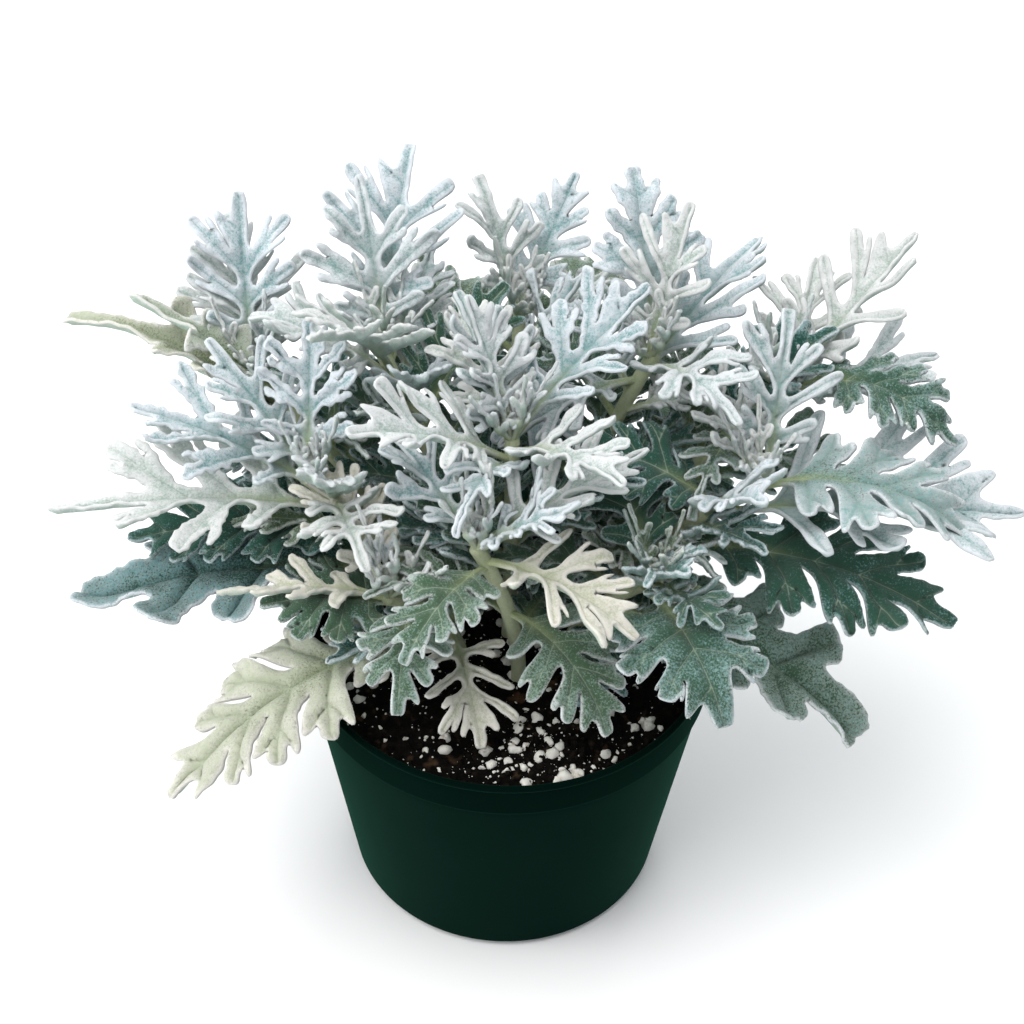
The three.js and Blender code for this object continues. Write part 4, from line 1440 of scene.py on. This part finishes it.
class Room:
    # cells of space that leaves already fill, and cells near them
    margin = 12
    nearby = 4  # cells

    def __init__(self, points, cell):
        self.low = points.min(0) - self.margin
        self.cell = cell
        size = ((points.max(0) + self.margin - self.low) / cell).astype(int) + 2 * self.nearby + 1
        self.taken = np.zeros(size, bool)
        self.near = np.zeros(size, bool)

    def cells(self, points):
        spots = ((points - self.low) / self.cell).astype(int)
        return np.clip(spots, self.nearby, np.array(self.taken.shape) - self.nearby - 1)

    def fill(self, points):
        cells = np.unique(self.cells(points), axis=0)
        for shift in itertools.product((-1, 0, 1), repeat=3):
            self.taken[tuple((cells + shift).T)] = True
            self.near[tuple((cells + np.multiply(shift, self.nearby)).T)] = True

    def crowding(self, points):
        cells = tuple(self.cells(points).T)
        return self.taken[cells].mean(), self.near[cells].mean()


def hullPlanes(points):
    # outward directions and distances of the sides of the smallest convex body round the points
    hull = bmesh.new()
    for p in points:
        hull.verts.new(p)
    made = bmesh.ops.convex_hull(hull, input=hull.verts)
    sides = [part for part in made["geom"] if isinstance(part, bmesh.types.BMFace)]
    bmesh.ops.recalc_face_normals(hull, faces=sides)
    directions = np.array([side.normal for side in sides])
    distances = np.array([side.normal.dot(side.verts[0].co) for side in sides])
    hull.free()
    return directions, distances


def between(span, share):
    return span[0] + (span[1] - span[0]) * share


def fits(points, room, hull, most):
    # None where a leaf would stand out of the clump or run into another, or else how near others are
    directions, distances = hull
    radius = np.hypot(points[:, 0], points[:, 1])
    lowest = np.where(radius > fillPlan["rim"], fillPlan["overRim"], fillPlan["overMix"])
    if (points[:, 2] < lowest).any():
        return None
    seen = np.stack([points[:, 0], points[:, 1:] @ np.array(sightPlan["rise"])], 1)
    window = (abs(seen - sightPlan["place"]) < sightPlan["size"]).all(1)
    if (window & (points[:, 1] < sightPlan["front"])).any():
        return None
    taken, near = room.crowding(points)
    if taken > most or (points @ directions.T > distances - fillPlan["inside"]).any():
        return None
    return fillPlan["takenWeight"] * taken + near


def fillingLeaf(plan, index, seed, room, hull):
    # tries directions all round and takes the roomiest
    share = index / (fillPlan["perStem"] - 1)
    root = stemPoint(plan, between(fillPlan["up"], share))
    kind = "lobed" if share + 0.5 * seeded(seed + 1) < fillPlan["lobedBelow"] else "lace"
    rise, droop = between(fillPlan["rise"], share), between(fillPlan["droop"], share)
    length = between(fillPlan["length"], share) * (1 + fillPlan["spread"] * (seeded(seed + 2) - 0.5))
    flat = None
    best = None
    for k in range(fillPlan["turns"]):
        turn = 360 * (k / fillPlan["turns"] + seeded(seed))
        for riseBy in fillPlan["rises"]:
            leaf = leafPlan(kind, turn, rise + riseBy, droop, length, seed)
            if flat is None:
                edgeStep, fieldStep = fillPlan["testSteps"]
                loop = evenly(softened(leafOutline(leaf)[0]), edgeStep)
                flat = np.vstack([loop, evenField(loop, fieldStep)])
                flat = flat[flat[:, 0] + leaf["stalk"] > fillPlan["free"]]
            points = bent(ribFrames(root, leaf, bladePlan["frameSteps"]), leaf, flat)[0]
            crowding = fits(points, room, hull, fillPlan["mostCrowded"])
            if crowding is not None and (best is None or crowding < best[0]):
                best = (crowding, leaf, points)
    if best is None:
        return None
    room.fill(best[2])
    if share > fillPlan["whiteAbove"] and "youngLook" not in plan:
        look = "snow" if seeded(seed + 3) < 0.6 else "frost"
    else:
        look = ("sage", "deep", "teal", "deep")[int(4 * seeded(seed + 3))]
    return root, best[1], look


def youngLeaf(index, seed):
    turn = youngPlan["turn"][0] * index + youngPlan["turn"][1] * seeded(seed)
    spans = [youngPlan[key] for key in ("rise", "droop", "length")]
    bend = [between(span, seeded(seed + k)) for k, span in enumerate(spans, 5)]
    leaf = leafPlan("young", turn, *bend, seed)
    leaf["scale"] = youngPlan["scale"]
    return leaf


def nodeCorners(name):
    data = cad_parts[f"leafy_stem_{name}"].data
    corners = np.zeros(len(data.vertices) * 3)
    data.vertices.foreach_get("co", corners)
    return corners.reshape(-1, 3) / mm


def joined(parts):
    # the parts' points, faces and values in one
    counts = np.cumsum([0] + [len(part[0]) for part in parts])
    points = np.vstack([part[0] for part in parts])
    faces = np.vstack([part[1] + first for part, first in zip(parts, counts)])
    values = {key: np.concatenate([part[2][key] for part in parts]) for key in parts[0][2]}
    return points, faces, values


def stemTitle(name):
    return "leafyStem" + "".join(word.capitalize() for word in name.split("_"))


def makeLeafyStems(stems):
    corners = {name: np.unique(nodeCorners(name).round(4), axis=0) for name in stems}
    everyCorner = np.vstack(list(corners.values()))
    room, hull = Room(everyCorner, fillPlan["cell"]), hullPlanes(everyCorner)
    parts = {}
    for number, (name, plan) in enumerate(stems.items()):
        tree = treeOf(corners[name])
        parts[name] = [fineStem(plan)]
        for i, row in enumerate(plan["leaves"]):
            root = stemPoint(plan, row[1])
            leaf = settledLeaf(root, row, leafSeed("grown", number, i), tree)
            parts[name].append(fineLeaf(root, leaf, row[6], meshSteps["grown"]))
        for points, _, _ in parts[name]:
            room.fill(points)
    report("grown leaves")
    for index in range(fillPlan["perStem"]):
        for number, (name, plan) in enumerate(stems.items()):
            added = fillingLeaf(plan, index, leafSeed("filling", number, index), room, hull)
            if added:
                parts[name].append(fineLeaf(*added, meshSteps["filling"]))
    print(sum(len(group) for group in parts.values()) - len(parts), "leaves")
    report("filling leaves")
    for number, (name, plan) in enumerate(stems.items()):
        for i in range(youngPlan["count"]):
            leaf = youngLeaf(i, leafSeed("young", number, i))
            look = plan.get("youngLook", "snow")
            parts[name].append(fineLeaf(stemPoint(plan, youngPlan["up"]), leaf, look, meshSteps["young"]))
    for name, group in parts.items():
        title = stemTitle(name)
        points, faces, values = joined(group)
        piece = meshObject(title, (points * mm).tolist(), faces.tolist(), materials["leaf"], values)
        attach(piece, "root")
        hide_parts(f"leafy_stem_{name}")
        print(title, len(faces), "faces")


makeLeafyStems(leafyStems)
report("leafy stems")


# fine hairs that stand out from the felt along the leaves' edges

hairPlan = {
    "Density": 190000.0,
    "Seed": 3,
    "Edge": 0.7,  # how far from the edge they grow, millimetres
    "Length": 0.001,
    "Thickness": 0.00007,
    "Lean": 0.7,
    "Material": materials["hair"],
}


def hairTree():
    sizes = dict.fromkeys(("Density", "Edge", "Length", "Thickness", "Lean"), "Float")
    tree, inputs, names = newTree("leafHairs", {**sizes, "Seed": "Int"})
    start = Wire(tree)
    gap = start.node("GeometryNodeInputNamedAttribute", None, {"Name": "edgeGap"})
    share = start.node("ShaderNodeMath", {"operation": "LESS_THAN"}, {0: gap, 1: inputs["Edge"]})
    points = scattered(inputs, share)
    turn = Wire(tree, pick(points.socket.node.outputs, "Rotation"))
    lean = stretched(drawnVector(inputs, -1, 1), inputs["Lean"])
    sockets = {"Rotation": turn, "Rotate By": lean}
    turn = start.node("FunctionNodeRotateRotation", {"rotation_space": "LOCAL"}, sockets)
    hair = start.node("GeometryNodeMeshCone", None, {
        "Vertices": 3, "Side Segments": 1, "Radius Top": 0.0, "Radius Bottom": inputs["Thickness"],
        "Depth": inputs["Length"],
    })
    closeTree(copied(hair, points, turn, drawn(inputs, 0.5, 1.0)), inputs["Material"])
    return tree, names


def makeHairs(stems, plan):
    tree, names = hairTree()
    for name in stems:
        title = stemTitle(name)
        hairs = grown(title + "Hairs", bpy.data.objects[title], tree, names, plan)
        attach(hairs, "root")


makeHairs(leafyStems, hairPlan)
report("leaf hairs")


# floor

corners = [(-2, -2, 0), (2, -2, 0), (2, 2, 0), (-2, 2, 0)]
floor = meshObject("floor", corners, [(0, 1, 2, 3)], materials["floor"])

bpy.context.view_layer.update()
report("finished")
